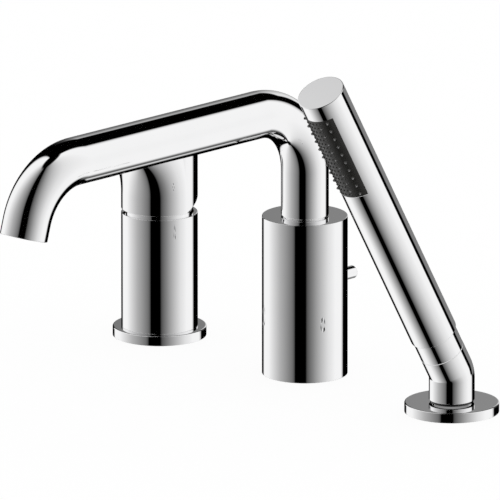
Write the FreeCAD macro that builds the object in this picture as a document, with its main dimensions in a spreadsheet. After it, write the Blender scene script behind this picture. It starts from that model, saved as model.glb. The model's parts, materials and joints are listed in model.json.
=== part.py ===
import FreeCAD, Part
import math
import os
import re
import Sketcher

# Deck-mounted tub faucet: a lever mixer, a swivelling spout with a pull diverter, and a hand shower
# in its swivelling holder, each standing on its own shank through the deck.
# The frame: origin on the deck's top face, on the spout's swivel axis. The three stations lie along X,
# the mixer at -X and the hand shower at +X. The spout and the lever point along -Y, and +Z is up.

SIZES = {
    # Row of stations, millimetres and degrees all through
    "station_spacing": 131.0,
    "deck_thick": 20.0,
    # Fits between neighbouring pieces
    "thread_gap": 0.1,
    "fit_gap": 0.15,
    "turn_gap": 0.1,
    "lift_gap": 0.3,
    "edge_break": 0.4,
    # Shanks and what clamps them under the deck
    "shank_dia": 32.0,
    "shank_below": 42.0,
    "gasket_dia": 52.0,
    "gasket_thick": 3.0,
    "washer_dia": 50.0,
    "washer_thick": 2.0,
    "nut_flats": 46.0,
    "nut_tall": 9.0,
    # Escutcheons of the mixer and the hand shower
    "escutcheon_dia": 60.0,
    "escutcheon_tall": 6.3,
    "escutcheon_round": 0.8,
    "groove_inset": 2.0,
    "groove_width": 3.0,
    "groove_deep": 1.0,
    "ledge_thick": 2.5,
    "cover_thick": 2.4,
    # Mixer column and its valve core
    "column_dia": 49.0,
    "column_top": 81.4,
    "column_wall": 2.5,
    "core_foot": 9.5,
    "core_waist_dia": 37.0,
    "chamber_base": 6.0,
    "port_dia": 9.0,
    "port_thread_long": 14.0,
    "passage_dia": 8.2,
    "port_ring": 8.5,
    # Cartridge, from its seat in the core up to the lever's pivot
    "pivot_rise": 0.6,
    "cartridge_deep": 18.0,
    "housing_base": 3.0,
    "housing_wall": 2.8,
    "housing_step": 2.5,
    "neck_wall": 1.9,
    "disc_thick": 3.8,
    "disc_port_dia": 6.4,
    "moving_disc_dia": 20.0,
    "mixing_recess_deep": 1.5,
    "mixing_recess_dia": 13.0,
    "driver_dia": 14.0,
    "driver_tall": 3.0,
    "carrier_flange": 2.2,
    "carrier_slot": 19.0,
    "seal_ring_thick": 1.0,
    "seal_ring_width": 1.2,
    "pin_dia": 3.0,
    "stem_wide": 8.0,
    "stem_web": 5.0,
    "stem_tip_dia": 4.0,
    "stem_neck_dia": 3.0,
    "stem_grip": 13.0,
    "core_above_pivot": 6.0,
    "cartridge_nut_tall": 5.0,
    "collar_wall": 1.5,
    # Dome between the column and the handle
    "dome_step": 3.0,
    "dome_wall": 1.2,
    "dome_seat_drop": 1.4,
    "dome_mouth_dia": 29.0,
    # Lever handle
    "handle_gap": 2.6,
    "handle_tall": 52.0,
    "handle_room": 0.8,
    "handle_round": 1.0,
    "lever_rise": 11.0,
    "lever_crook": 33.0,
    "lever_run": 8.4,
    "lift_relief": 25.0,
    "screw_dia": 5.0,
    "screw_long": 8.0,
    "screw_key": 2.5,
    "plug_dia": 6.8,
    "plug_deep": 2.4,
    # Spout body, its valve core and the swivel
    "block_dia": 54.5,
    "block_top": 103.4,
    "block_wall": 2.25,
    "block_cap": 3.0,
    "base_seal_thick": 1.5,
    "base_seal_width": 7.0,
    "head_tall": 12.0,
    "swivel_deep": 24.4,
    "journal_step": 1.2,
    "journal_wall": 3.5,
    "journal_grip": 18.0,
    "ring_groove_deep": 1.6,
    "ring_groove_wide": 2.0,
    "ring_section": 1.5,
    "ring_play": 0.04,
    "ring_pitch": 8.0,
    "ring_drop": 6.4,
    "lock_groove_deep": 1.0,
    "lock_groove_wide": 2.2,
    "lock_rise": 4.0,
    # Spout
    "slide_ring_thick": 0.8,
    "slide_ring_step": 0.9,
    "spout_dia": 30.4,
    "spout_wall": 2.0,
    "spout_axis_height": 177.0,
    "spout_reach": 250.0,
    "spout_bend": 43.5,
    "outlet_turn": 74.0,
    "outlet_run": 10.2,
    "aerator_long": 5.2,
    "aerator_wall": 1.6,
    "aerator_inset": 0.3,
    "aerator_seal_thick": 1.4,
    "aerator_cell": 1.3,
    "aerator_pitch": 2.45,
    # Diverter, on an axis along Y through the spout body
    "diverter_height": 58.0,
    "diverter_bore_dia": 17.0,
    "diverter_seat": 5.0,
    "diverter_seat_dia": 10.0,
    "diverter_lip": 2.0,
    "diverter_window": 6.0,
    "diverter_plug": 9.0,
    "diverter_head": 2.8,
    "ports_apart": 7.0,
    "diverter_disc_thick": 3.0,
    "rod_dia": 4.0,
    "rod_head_thick": 1.5,
    "rod_head_dia": 6.4,
    "rod_grip": 10.0,
    "spring_wall": 0.9,
    "knob_dia": 8.2,
    "knob_long": 15.5,
    "knob_clear": 0.75,
    # Hand shower holder
    "elbow_dia": 29.0,
    "elbow_wall": 2.0,
    "elbow_height": 25.5,
    "elbow_bend": 14.6,
    "lean": 30.0,
    "swivel_ring_tall": 1.7,
    "swivel_ring_step": 0.7,
    "hose_bore_dia": 19.6,
    "foot_collar_dia": 40.0,
    "holder_journal_top": 17.0,
    "snap_groove_deep": 0.8,
    "snap_groove_wide": 2.0,
    "snap_height": 12.0,
    "liner_wall": 2.2,
    "liner_long": 12.0,
    # Hand shower, measured along its own axis from the corner of the elbow
    "seam_at": 18.4,
    "collar_top": 33.5,
    "stick_end": 235.5,
    "stick_dia": 30.6,
    "stick_wall": 1.8,
    "stick_cap": 2.5,
    "collar_step": 0.9,
    "spigot_long": 10.5,
    "spigot_wall": 2.5,
    "inlet_thread_dia": 20.8,
    "inlet_thread_long": 9.5,
    "inlet_bore_dia": 13.0,
    "inlet_flange": 7.5,
    "inlet_seal_thick": 2.0,
    "check_valve_long": 13.0,
    "check_valve_bore": 6.0,
    "duct_dia": 18.0,
    "duct_wall": 2.0,
    "duct_cone": 6.0,
    # Spray face
    "spray_half_angle": 56.0,
    "spray_bottom": 161.0,
    "spray_long": 63.6,
    "spray_plate_thick": 2.8,
    "mat_thick": 0.9,
    "mat_inset": 5.0,
    "nozzle_rows": 10.0,
    "nozzle_pitch": 6.5,
    "nozzle_angle": 19.5,
    "nozzle_base_dia": 2.8,
    "nozzle_tip_dia": 1.3,
    "nozzle_out": 1.3,
}

WORKED_OUT = {
    # Deck fixings
    "shank_rad": "shank_dia / 2",
    "shank_end": "-deck_thick - shank_below",
    "under_gasket": "-deck_thick - gasket_thick",
    "under_washer": "under_gasket - washer_thick",
    "under_nut": "under_washer - nut_tall",
    # Escutcheons
    "escutcheon_rad": "escutcheon_dia / 2",
    "groove_outer": "escutcheon_rad - groove_inset",
    "groove_inner": "groove_outer - groove_width",
    # Mixer column, from the outside in
    "column_rad": "column_dia / 2",
    "core_rad": "column_rad - column_wall - fit_gap",
    "dome_rad": "column_rad - dome_step",
    "dome_inner": "dome_rad - dome_wall",
    "dome_bore": "sqrt(dome_inner ^ 2 - (core_above_pivot + fit_gap) ^ 2)",
    "collar_rad": "dome_bore - fit_gap",
    "chamber_rad": "collar_rad - collar_wall",
    "housing_rad": "chamber_rad - fit_gap",
    "housing_neck": "housing_rad - housing_step",
    "neck_bore": "housing_neck - neck_wall",
    "cavity_rad": "housing_rad - housing_wall",
    "carrier_rad": "neck_bore - turn_gap",
    # Mixer heights, from the pivot down and up
    "pivot_z": "column_top + pivot_rise",
    "core_shoulder": "column_top - dome_seat_drop",
    "core_top": "pivot_z + core_above_pivot",
    "cartridge_z": "pivot_z - cartridge_deep",
    "fixed_disc_z": "cartridge_z + housing_base",
    "moving_disc_z": "fixed_disc_z + disc_thick",
    "driver_z": "moving_disc_z + disc_thick",
    "carrier_z": "driver_z + driver_tall + lift_gap",
    "carrier_top": "core_top + 2 * fit_gap",
    "neck_ledge": "carrier_z + carrier_flange + turn_gap",
    "tip_z": "driver_z + stem_tip_dia / 2 + fit_gap",
    # Handle
    "handle_z": "column_top + handle_gap",
    "handle_top": "handle_z + handle_tall",
    "handle_room_rad": "dome_rad + handle_room",
    "bend_z": "handle_z + lever_rise",
    "bend_rad": "lever_crook + column_rad",
    "lever_axis_z": "bend_z + bend_rad",
    "lever_tip_y": "-bend_rad - lever_run",
    "stem_top": "pivot_z + handle_room_rad + stem_grip",
    "screw_z": "stem_top - stem_grip / 2",
    "socket_half": "stem_wide / 2 + fit_gap",
    # Spout body
    "block_rad": "block_dia / 2",
    "block_core_rad": "block_rad - block_wall - fit_gap",
    "block_core_top": "block_top - block_cap",
    "swivel_floor": "block_core_top - swivel_deep",
    "spout_rad": "spout_dia / 2",
    "spout_inner": "spout_rad - spout_wall",
    "spout_foot": "block_top + slide_ring_thick",
    "journal_rad": "spout_inner - journal_step",
    "journal_bore": "journal_rad - journal_wall",
    "swivel_bore": "journal_rad + turn_gap",
    "journal_foot": "swivel_floor + lift_gap",
    "lock_z": "swivel_floor + lock_rise",
    "ring_z": "block_core_top - ring_drop",
    # Spout path, in its own plane
    "rise_top": "spout_axis_height - spout_bend",
    "outlet_bend_y": "spout_bend * sin(outlet_turn) + outlet_run * cos(outlet_turn) - spout_reach",
    "outlet_z": "spout_axis_height - spout_bend * (1 - cos(outlet_turn)) - outlet_run * sin(outlet_turn)",
    # Diverter
    "diverter_rad": "diverter_bore_dia / 2",
    "block_waist": "diverter_seat + diverter_lip + diverter_window + diverter_plug - diverter_head",
    "bush_end": "block_waist + diverter_head",
    "shower_port_y": "diverter_seat + port_dia / 2",
    "spout_port_y": "diverter_seat + diverter_lip + diverter_window / 2",
    "disc_front": "turn_gap - diverter_seat",
    "disc_back": "disc_front + diverter_disc_thick",
    "knob_front": "block_rad + knob_clear",
    # Holder
    "elbow_rad": "elbow_dia / 2",
    "elbow_bore": "elbow_rad - elbow_wall",
    "elbow_foot": "escutcheon_tall + swivel_ring_tall",
    "bend_tangent": "elbow_bend * tan(lean / 2)",
    "holder_journal": "elbow_bore - turn_gap",
    "collar_tall": "escutcheon_tall - cover_thick - turn_gap",
    # Hand shower
    "sleeve_foot": "seam_at + lift_gap",
    "liner_bore": "elbow_bore - liner_wall",
    "spigot_rad": "liner_bore - fit_gap",
    "spigot_bore": "spigot_rad - spigot_wall",
    "stick_rad": "stick_dia / 2",
    "stick_inner": "stick_rad - stick_wall",
    "inlet_foot": "collar_top - inlet_thread_long",
    "inlet_top": "collar_top + inlet_flange",
    "spray_top": "spray_bottom + spray_long",
    "plate_inner": "stick_rad - spray_plate_thick",
    "mat_outer": "plate_inner - turn_gap",
    "mat_inner": "mat_outer - mat_thick",
}

SHEET = "Sizes"
ORIGIN = FreeCAD.Vector(0, 0, 0)
X_AXIS = FreeCAD.Vector(1, 0, 0)
Z_AXIS = FreeCAD.Vector(0, 0, 1)
# Turning by 120 degrees about this axis takes X to Y, Y to Z and Z to X.
DIAGONAL = FreeCAD.Vector(1, 1, 1)
# Turns that lay a piece made upright along another way
ALONG_X = (DIAGONAL, "120")
ALONG_Y = (X_AXIS, "-90")
ALONG_MINUS_Y = (X_AXIS, "90")
SQUARE = 90.0

# Places of the cold, hot and mixed ports about the mixer's axis, on one circle
PORTS = [
    ("port_ring * cos(30)", "-port_ring * sin(30)"),
    ("-port_ring * cos(30)", "-port_ring * sin(30)"),
    ("0", "port_ring"),
]
# Rings of holes in the aerator's grid, six more holes in each than in the last
AERATOR_RINGS = 4
# The hand shower's own frame: along its axis from the corner of the elbow
STICK_FRAME = (("station_spacing", "0", "elbow_height"), (X_AXIS, "lean"))

doc = FreeCAD.newDocument("TubFaucet")
sheet = doc.addObject("Spreadsheet::Sheet", SHEET)
for row, (name, size) in enumerate(list(SIZES.items()) + list(WORKED_OUT.items()), start=1):
    sheet.set(f"A{row}", name)
    sheet.set(f"B{row}", f"={size}" if name in WORKED_OUT else str(size))
    sheet.setAlias(f"B{row}", name)
doc.recompute()

bodies = []


def formula(text):
    """Return the expression TEXT with the sheet's name before each size in it."""
    known = SIZES.keys() | WORKED_OUT.keys()
    return re.sub(r"[a-z_]+", lambda word: f"{SHEET}.{word[0]}" if word[0] in known else word[0], text)


def value(text):
    """Return the number that the expression TEXT has now."""
    return float(sheet.evalExpression(formula(text)))


def place(item, at, turn=None):
    """Bind the Placement of ITEM to the three expressions AT and the pair TURN, an axis and an angle."""
    if turn:
        axis, angle = turn
        item.Placement = FreeCAD.Placement(ORIGIN, FreeCAD.Rotation(axis, value(angle)))
        item.setExpression("Placement.Rotation.Angle", formula(angle))
    for letter, text in zip("xyz", at):
        item.setExpression(f"Placement.Base.{letter}", formula(text))


def new_body(label, at=("0", "0", "0"), turn=None):
    """Start the sub-part LABEL, whose own frame lies at AT, turned by TURN."""
    body = doc.addObject("PartDesign::Body", label)
    body.Label = label
    place(body, at, turn)
    bodies.append(body)
    return body


def add(body, kind, at=("0", "0", "0"), turn=None, **sizes):
    """Add the primitive KIND to BODY, with its SIZES as expressions."""
    feature = body.newObject(f"PartDesign::{kind}", f"{body.Label}_{kind}")
    place(feature, at, turn)
    for name, text in sizes.items():
        feature.setExpression(name, formula(text))
    return feature


def sketch_on(body, plane):
    """Return a new sketch of BODY on its own origin plane, such as XZ."""
    sketch = body.newObject("Sketcher::SketchObject", f"{body.Label}_{plane}")
    base = next(item for item in body.Origin.OriginFeatures if item.Role == f"{plane}_Plane")
    sketch.AttachmentSupport = [(base, "")]
    sketch.MapMode = "FlatFace"
    return sketch


def pin_point(sketch, element, end, point):
    """Hold one end of an element of SKETCH at POINT, a pair of expressions."""
    for kind, text in zip(("DistanceX", "DistanceY"), point):
        index = sketch.addConstraint(Sketcher.Constraint(kind, -1, 1, element, end, value(text)))
        sketch.setExpression(f"Constraints[{index}]", formula(text))


def hold_centre(sketch, arc, chord, centre):
    """Hold the centre of an ARC across its CHORD, which leaves its ends to hold the rest."""
    upright = abs(chord.y) > abs(chord.x)
    kind, text = ("DistanceX", centre[0]) if upright else ("DistanceY", centre[1])
    index = sketch.addConstraint(Sketcher.Constraint(kind, -1, 1, arc, 3, value(text)))
    sketch.setExpression(f"Constraints[{index}]", formula(text))


def draw(sketch, points, closed=True):
    """Draw lines and arcs through POINTS and hold every end of them.

    A point is a pair of expressions. Where it has two more, an arc about that centre leads to it.
    """
    spots = [FreeCAD.Vector(value(point[0]), value(point[1]), 0) for point in points]
    count = len(points) if closed else len(points) - 1
    ends = []
    for index in range(count):
        after = (index + 1) % len(points)
        start, stop = spots[index], spots[after]
        if len(points[after]) == 2:
            element = sketch.addGeometry(Part.LineSegment(start, stop))
            ends.append((element, 1, 2))
            continue
        centre = FreeCAD.Vector(value(points[after][2]), value(points[after][3]), 0)
        turn_left = (start - centre).cross(stop - centre).z > 0
        first, last = (start, stop) if turn_left else (stop, start)
        angles = [math.atan2(spot.y - centre.y, spot.x - centre.x) for spot in (first, last)]
        circle = Part.Circle(centre, Z_AXIS, (start - centre).Length)
        element = sketch.addGeometry(Part.ArcOfCircle(circle, *angles))
        ends.append((element, 1, 2) if turn_left else (element, 2, 1))
        hold_centre(sketch, element, stop - start, points[after][2:])
    for index, (element, start_end, stop_end) in enumerate(ends):
        pin_point(sketch, element, start_end, points[index][:2])
        if closed or index + 1 < len(ends):
            after, after_end = ends[(index + 1) % len(ends)][:2]
            sketch.addConstraint(Sketcher.Constraint("Coincident", element, stop_end, after, after_end))
        else:
            pin_point(sketch, element, stop_end, points[index + 1][:2])


def revolve(body, points):
    """Add to BODY the outline POINTS, pairs of radius and height, turned about its Z axis."""
    sketch = sketch_on(body, "XZ")
    draw(sketch, points)
    turned = body.newObject("PartDesign::Revolution", f"{body.Label}_Revolution")
    turned.Profile = sketch
    turned.ReferenceAxis = (sketch, ["V_Axis"])
    turned.Angle = 360.0
    return turned


def sweep_tube(body, outer, inner, foot, path):
    """Add to BODY a tube of radii OUTER and INNER that starts upright at height FOOT along PATH."""
    section = sketch_on(body, "XY")
    section.setExpression("AttachmentOffset.Base.z", formula(foot))
    for radius in (outer, inner):
        ring = section.addGeometry(Part.Circle(ORIGIN, Z_AXIS, value(radius)))
        section.addConstraint(Sketcher.Constraint("Coincident", ring, 3, -1, 1))
        index = section.addConstraint(Sketcher.Constraint("Radius", ring, value(radius)))
        section.setExpression(f"Constraints[{index}]", formula(radius))
    spine = sketch_on(body, "YZ")
    draw(spine, path, closed=False)
    pipe = body.newObject("PartDesign::AdditivePipe", f"{body.Label}_Pipe")
    pipe.Profile = section
    pipe.Spine = (spine, [])
    return pipe


def ring_points(inner, outer, low, high):
    """Return the outline of a plain ring."""
    return [(inner, low), (outer, low), (outer, high), (inner, high)]


def drum_points(radius, low, high):
    """Return the outline of a plain round bar."""
    return [("0", low), (radius, low), (radius, high), ("0", high)]


def at_stations(label, draw_one):
    """Make one sub-part out of three alike solids, one at each station."""
    body = new_body(label)
    for x_place in ("-station_spacing", "0", "station_spacing"):
        draw_one(body, (x_place, "0"))
    return body


def deck_ring(body, spot, radius, low, high):
    """Add a ring round one shank, between two heights."""
    tall = f"{high} - ({low})"
    add(body, "AdditiveCylinder", (*spot, low), Radius=radius, Height=tall)
    add(body, "SubtractiveCylinder", (*spot, low), Radius="shank_rad + thread_gap", Height=tall)


def deck_nut(body, spot):
    """Add one hexagon nut under the deck."""
    foot = (*spot, "under_nut")
    add(body, "AdditivePrism", foot, Circumradius="nut_flats / sqrt(3)", Height="nut_tall")
    add(body, "SubtractiveCylinder", foot, Radius="shank_rad + thread_gap", Height="nut_tall")


def build_deck_fixings():
    """Gaskets, washers and nuts that clamp the three shanks from under the deck."""
    at_stations("deck_gaskets", lambda body, spot: deck_ring(
        body, spot, "gasket_dia / 2", "under_gasket", "-deck_thick"))
    at_stations("deck_washers", lambda body, spot: deck_ring(
        body, spot, "washer_dia / 2", "under_washer", "under_gasket"))
    at_stations("deck_nuts", deck_nut)


def escutcheon_rim(inner):
    """Return an escutcheon's outline from its underside at radius INNER out and up to the flat top."""
    return [
        (inner, "0"),
        ("groove_inner", "0"),
        ("groove_inner", "groove_deep"),
        ("groove_outer", "groove_deep"),
        ("groove_outer", "0"),
        ("escutcheon_rad", "0"),
        ("escutcheon_rad", "escutcheon_tall - escutcheon_round"),
        ("escutcheon_rad - escutcheon_round", "escutcheon_tall",
         "escutcheon_rad - escutcheon_round", "escutcheon_tall - escutcheon_round"),
    ]


def build_escutcheon_seal(label, station):
    """Rubber ring in the groove of an escutcheon, flush with the deck."""
    seal = new_body(label, (station, "0", "0"))
    revolve(seal, ring_points("groove_inner + turn_gap", "groove_outer - turn_gap", "0", "groove_deep"))


def build_mixer_column():
    """Escutcheon, column sleeve and valve core of the mixer."""
    station = ("-station_spacing", "0", "0")
    escutcheon = new_body("mixer_escutcheon", station)
    revolve(escutcheon, escutcheon_rim("shank_rad + fit_gap") + [
        ("core_rad + fit_gap", "escutcheon_tall"),
        ("core_rad + fit_gap", "ledge_thick"),
        ("shank_rad + fit_gap", "ledge_thick"),
    ])
    build_escutcheon_seal("mixer_escutcheon_seal", "-station_spacing")

    sleeve = new_body("mixer_column_sleeve", station)
    revolve(sleeve, [
        ("core_rad + fit_gap", "escutcheon_tall"),
        ("column_rad", "escutcheon_tall"),
        ("column_rad", "column_top - edge_break"),
        ("column_rad - edge_break", "column_top"),
        ("core_rad + fit_gap", "column_top"),
    ])

    core = new_body("mixer_valve_core", station)
    revolve(core, [
        ("0", "shank_end"),
        ("shank_rad", "shank_end"),
        ("shank_rad", "ledge_thick"),
        ("core_rad", "ledge_thick"),
        ("core_rad", "core_foot"),
        ("core_waist_dia / 2", "core_foot"),
        ("core_waist_dia / 2", "cartridge_z - chamber_base"),
        ("core_rad", "cartridge_z - chamber_base"),
        ("core_rad", "core_shoulder"),
        ("collar_rad", "core_shoulder"),
        ("collar_rad", "core_top"),
        ("chamber_rad", "core_top"),
        ("chamber_rad", "cartridge_z"),
        ("0", "cartridge_z"),
    ])
    for x_place, y_place in PORTS:
        hose_port(core, x_place, y_place, "cartridge_z")


def hose_port(core, x_place, y_place, top):
    """Cut a passage from the end of a shank up to TOP, with room for a hose's thread at its foot."""
    add(core, "SubtractiveCylinder", (x_place, y_place, "shank_end"),
        Radius="passage_dia / 2", Height=f"{top} - shank_end")
    add(core, "SubtractiveCylinder", (x_place, y_place, "shank_end"),
        Radius="port_dia / 2", Height="port_thread_long")


def build_cartridge():
    """Ceramic cartridge with its turning carrier, pivot pin and lever stem."""
    station = ("-station_spacing", "0", "0")
    housing = new_body("cartridge_housing", station)
    revolve(housing, [
        ("0", "cartridge_z"),
        ("housing_rad", "cartridge_z"),
        ("housing_rad", "core_top - cartridge_nut_tall"),
        ("housing_neck", "core_top - cartridge_nut_tall"),
        ("housing_neck", "core_top"),
        ("neck_bore", "core_top"),
        ("neck_bore", "neck_ledge"),
        ("cavity_rad", "neck_ledge"),
        ("cavity_rad", "fixed_disc_z"),
        ("0", "fixed_disc_z"),
    ])
    seals = new_body("cartridge_base_seals", station)
    fixed_disc = new_body("cartridge_fixed_disc", station)
    revolve(fixed_disc, drum_points("cavity_rad - fit_gap", "fixed_disc_z", "moving_disc_z"))
    for x_place, y_place in PORTS:
        add(housing, "SubtractiveCylinder", (x_place, y_place, "cartridge_z"),
            Radius="disc_port_dia / 2", Height="housing_base")
        add(housing, "SubtractiveCylinder", (x_place, y_place, "cartridge_z"),
            Radius="disc_port_dia / 2 + seal_ring_width + fit_gap", Height="seal_ring_thick")
        add(seals, "AdditiveCylinder", (x_place, y_place, "cartridge_z"),
            Radius="disc_port_dia / 2 + seal_ring_width", Height="seal_ring_thick")
        add(seals, "SubtractiveCylinder", (x_place, y_place, "cartridge_z"),
            Radius="disc_port_dia / 2", Height="seal_ring_thick")
        add(fixed_disc, "SubtractiveCylinder", (x_place, y_place, "fixed_disc_z"),
            Radius="disc_port_dia / 2", Height="disc_thick")

    moving_disc = new_body("cartridge_moving_disc", station)
    revolve(moving_disc, [
        ("0", "moving_disc_z + mixing_recess_deep"),
        ("mixing_recess_dia / 2", "moving_disc_z + mixing_recess_deep"),
        ("mixing_recess_dia / 2", "moving_disc_z"),
        ("moving_disc_dia / 2", "moving_disc_z"),
        ("moving_disc_dia / 2", "driver_z"),
        ("driver_dia / 2", "driver_z"),
        ("driver_dia / 2", "driver_z + driver_tall"),
        ("stem_tip_dia / 2 + lift_gap", "driver_z + driver_tall"),
        ("stem_tip_dia / 2 + lift_gap", "driver_z"),
        ("0", "driver_z"),
    ])

    carrier = new_body("cartridge_carrier", station)
    revolve(carrier, [
        ("0", "carrier_z"),
        ("cavity_rad - turn_gap", "carrier_z"),
        ("cavity_rad - turn_gap", "carrier_z + carrier_flange"),
        ("carrier_rad", "carrier_z + carrier_flange"),
        ("carrier_rad", "carrier_top"),
        ("0", "carrier_top"),
    ])
    add(carrier, "SubtractiveBox", ("-stem_wide / 2 - turn_gap", "-carrier_slot / 2", "carrier_z"),
        Length="stem_wide + 2 * turn_gap", Width="carrier_slot", Height="carrier_top - carrier_z")
    add(carrier, "SubtractiveCylinder", ("-carrier_rad - carrier_flange", "0", "pivot_z"),
        ALONG_X, Radius="pin_dia / 2", Height="2 * (carrier_rad + carrier_flange)")

    pin = new_body("cartridge_pivot_pin", station)
    add(pin, "AdditiveCylinder", ("edge_break - carrier_rad", "0", "pivot_z"),
        ALONG_X, Radius="pin_dia / 2", Height="2 * (carrier_rad - edge_break)")

    stem = new_body("lever_stem", station)
    add(stem, "AdditiveBox", ("-stem_wide / 2", "-stem_wide / 2", "carrier_top + stem_neck_dia"),
        Length="stem_wide", Width="stem_wide", Height="stem_top - carrier_top - stem_neck_dia")
    add(stem, "AdditiveBox", ("-stem_wide / 2", "-stem_web / 2", "tip_z + stem_neck_dia"),
        Length="stem_wide", Width="stem_web", Height="carrier_top - tip_z")
    add(stem, "AdditiveCylinder", ("0", "0", "tip_z"), Radius="stem_neck_dia / 2", Height="pivot_z - tip_z")
    add(stem, "AdditiveSphere", ("0", "0", "tip_z"), Radius="stem_tip_dia / 2")
    add(stem, "SubtractiveCylinder", ("-stem_wide", "0", "pivot_z"),
        ALONG_X, Radius="pin_dia / 2 + turn_gap", Height="2 * stem_wide")

    nut = new_body("cartridge_nut", station)
    revolve(nut, ring_points("housing_neck + fit_gap", "chamber_rad - thread_gap",
                             "core_top - cartridge_nut_tall", "core_top"))

    dome = new_body("mixer_dome", station)
    inner_mouth = "pivot_z + sqrt(dome_inner ^ 2 - dome_mouth_dia ^ 2 / 4)"
    outer_mouth = "pivot_z + sqrt(dome_rad ^ 2 - dome_mouth_dia ^ 2 / 4)"
    revolve(dome, [
        ("dome_bore", "core_shoulder"),
        ("dome_rad", "core_shoulder"),
        ("dome_rad", "pivot_z"),
        ("dome_mouth_dia / 2", outer_mouth, "0", "pivot_z"),
        ("dome_mouth_dia / 2", inner_mouth),
        ("dome_bore", "core_top + fit_gap", "0", "pivot_z"),
    ])


def build_handle():
    """Lever handle: a round column that bends forward into a lever with a flat top."""
    station = ("-station_spacing", "0", "0")
    handle = new_body("lever_handle", station)
    add(handle, "AdditiveCylinder", ("0", "0", "handle_z"), Radius="column_rad", Height="handle_tall")
    bend = add(handle, "AdditiveTorus", ("0", "-bend_rad", "bend_z"), ALONG_X,
               Radius1="bend_rad", Radius2="column_rad")
    bend.Angle3 = SQUARE
    add(handle, "AdditiveCylinder", ("0", "-bend_rad", "lever_axis_z"), ALONG_MINUS_Y,
        Radius="column_rad", Height="lever_run")
    add(handle, "AdditiveSphere", ("0", "lever_tip_y", "lever_axis_z"), Radius="column_rad")
    add(handle, "SubtractiveBox", ("-column_dia", "lever_tip_y - column_dia", "handle_top"),
        Length="2 * column_dia", Width="2 * column_dia - lever_tip_y", Height="2 * bend_rad")
    top_face = max(range(len(doc_shape(handle).Faces)), key=lambda index: face_height(handle, index))
    rim = new_fillet(handle, top_face)
    rim.setExpression("Radius", formula("handle_round"))
    add(handle, "SubtractiveSphere", ("0", "0", "pivot_z"), Radius="handle_room_rad")
    add(handle, "SubtractiveBox", ("-socket_half", "-socket_half", "pivot_z"),
        Length="2 * socket_half", Width="2 * socket_half", Height="stem_top + fit_gap - pivot_z")
    add(handle, "SubtractiveBox",
        ("-column_dia", "column_dia * sin(lift_relief)", "handle_z - column_dia * cos(lift_relief)"),
        (X_AXIS, "lift_relief"), Length="2 * column_dia", Width="column_dia", Height="column_dia")
    add(handle, "SubtractiveCylinder", ("0", "0", "screw_z"), ALONG_Y,
        Radius="screw_dia / 2 + thread_gap", Height="column_dia")
    add(handle, "SubtractiveCylinder", ("0", "column_rad - plug_deep", "screw_z"), ALONG_Y,
        Radius="plug_dia / 2 + fit_gap", Height="column_dia")

    screw_place = ("-station_spacing", "stem_wide / 2", "screw_z")
    screw = new_body("lever_set_screw", screw_place, ALONG_Y)
    add(screw, "AdditiveCylinder", Radius="screw_dia / 2", Height="screw_long")
    add(screw, "SubtractivePrism", ("0", "0", "screw_long - screw_key"),
        Circumradius="screw_key / sqrt(3)", Height="screw_key")

    plug_place = ("-station_spacing", "column_rad - plug_deep", "screw_z")
    plug = new_body("lever_screw_plug", plug_place, ALONG_Y)
    add(plug, "AdditiveCylinder", Radius="plug_dia / 2", Height="plug_deep - lift_gap")


def doc_shape(body):
    """Return the shape of BODY as it is so far."""
    doc.recompute()
    return body.Tip.Shape


def face_height(body, index):
    """Return how high the centre of one face of BODY lies, with flat level faces first."""
    face = body.Tip.Shape.Faces[index]
    return face.CenterOfMass.z if face.Surface.TypeId == "Part::GeomPlane" else -math.inf


def new_fillet(body, face_index):
    """Round the edges of one face of BODY."""
    base = body.Tip
    fillet = body.newObject("PartDesign::Fillet", f"{body.Label}_Fillet")
    fillet.Base = (base, [f"Face{face_index + 1}"])
    return fillet


def build_spout_body():
    """Sleeve, valve core and seals of the spout body."""
    sleeve = new_body("spout_body_sleeve")
    revolve(sleeve, [
        ("block_core_rad + fit_gap", "0"),
        ("block_rad", "0"),
        ("block_rad", "block_top - edge_break"),
        ("block_rad - edge_break", "block_top"),
        ("swivel_bore + fit_gap", "block_top"),
        ("swivel_bore + fit_gap", "block_core_top"),
        ("block_core_rad + fit_gap", "block_core_top"),
    ])
    rod_place = ("0", "block_core_rad - block_wall", "diverter_height")
    add(sleeve, "SubtractiveCylinder", rod_place, ALONG_Y,
        Radius="rod_dia / 2 + 2 * lift_gap", Height="3 * block_wall")

    core = new_body("spout_valve_core")
    revolve(core, [
        ("0", "shank_end"),
        ("shank_rad", "shank_end"),
        ("shank_rad", "base_seal_thick"),
        ("block_core_rad", "base_seal_thick"),
        ("block_core_rad", "head_tall"),
        ("block_waist", "head_tall"),
        ("block_waist", "block_core_top - head_tall"),
        ("block_core_rad", "block_core_top - head_tall"),
        ("block_core_rad", "block_core_top"),
        ("swivel_bore", "block_core_top"),
        ("swivel_bore", "lock_z + lock_groove_wide / 2"),
        ("swivel_bore + lock_groove_deep", "lock_z + lock_groove_wide / 2"),
        ("swivel_bore + lock_groove_deep", "lock_z - lock_groove_wide / 2"),
        ("swivel_bore", "lock_z - lock_groove_wide / 2"),
        ("swivel_bore", "swivel_floor"),
        ("0", "swivel_floor"),
    ])
    hose_port(core, "ports_apart / 2", "0", "diverter_height")
    hose_port(core, "-ports_apart / 2", "-shower_port_y", "diverter_height")
    add(core, "SubtractiveCylinder", ("0", "spout_port_y", "diverter_height"),
        Radius="diverter_window / 2", Height="swivel_floor - diverter_height")
    add(core, "SubtractiveCylinder", ("0", "-diverter_seat", "diverter_height"), ALONG_Y,
        Radius="diverter_rad", Height="block_dia")
    add(core, "SubtractiveCylinder", ("0", "-shower_port_y", "diverter_height"), ALONG_Y,
        Radius="passage_dia / 2", Height="shower_port_y")

    seal = new_body("spout_base_seal")
    revolve(seal, ring_points("block_core_rad - base_seal_width", "block_core_rad", "0", "base_seal_thick"))


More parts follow.
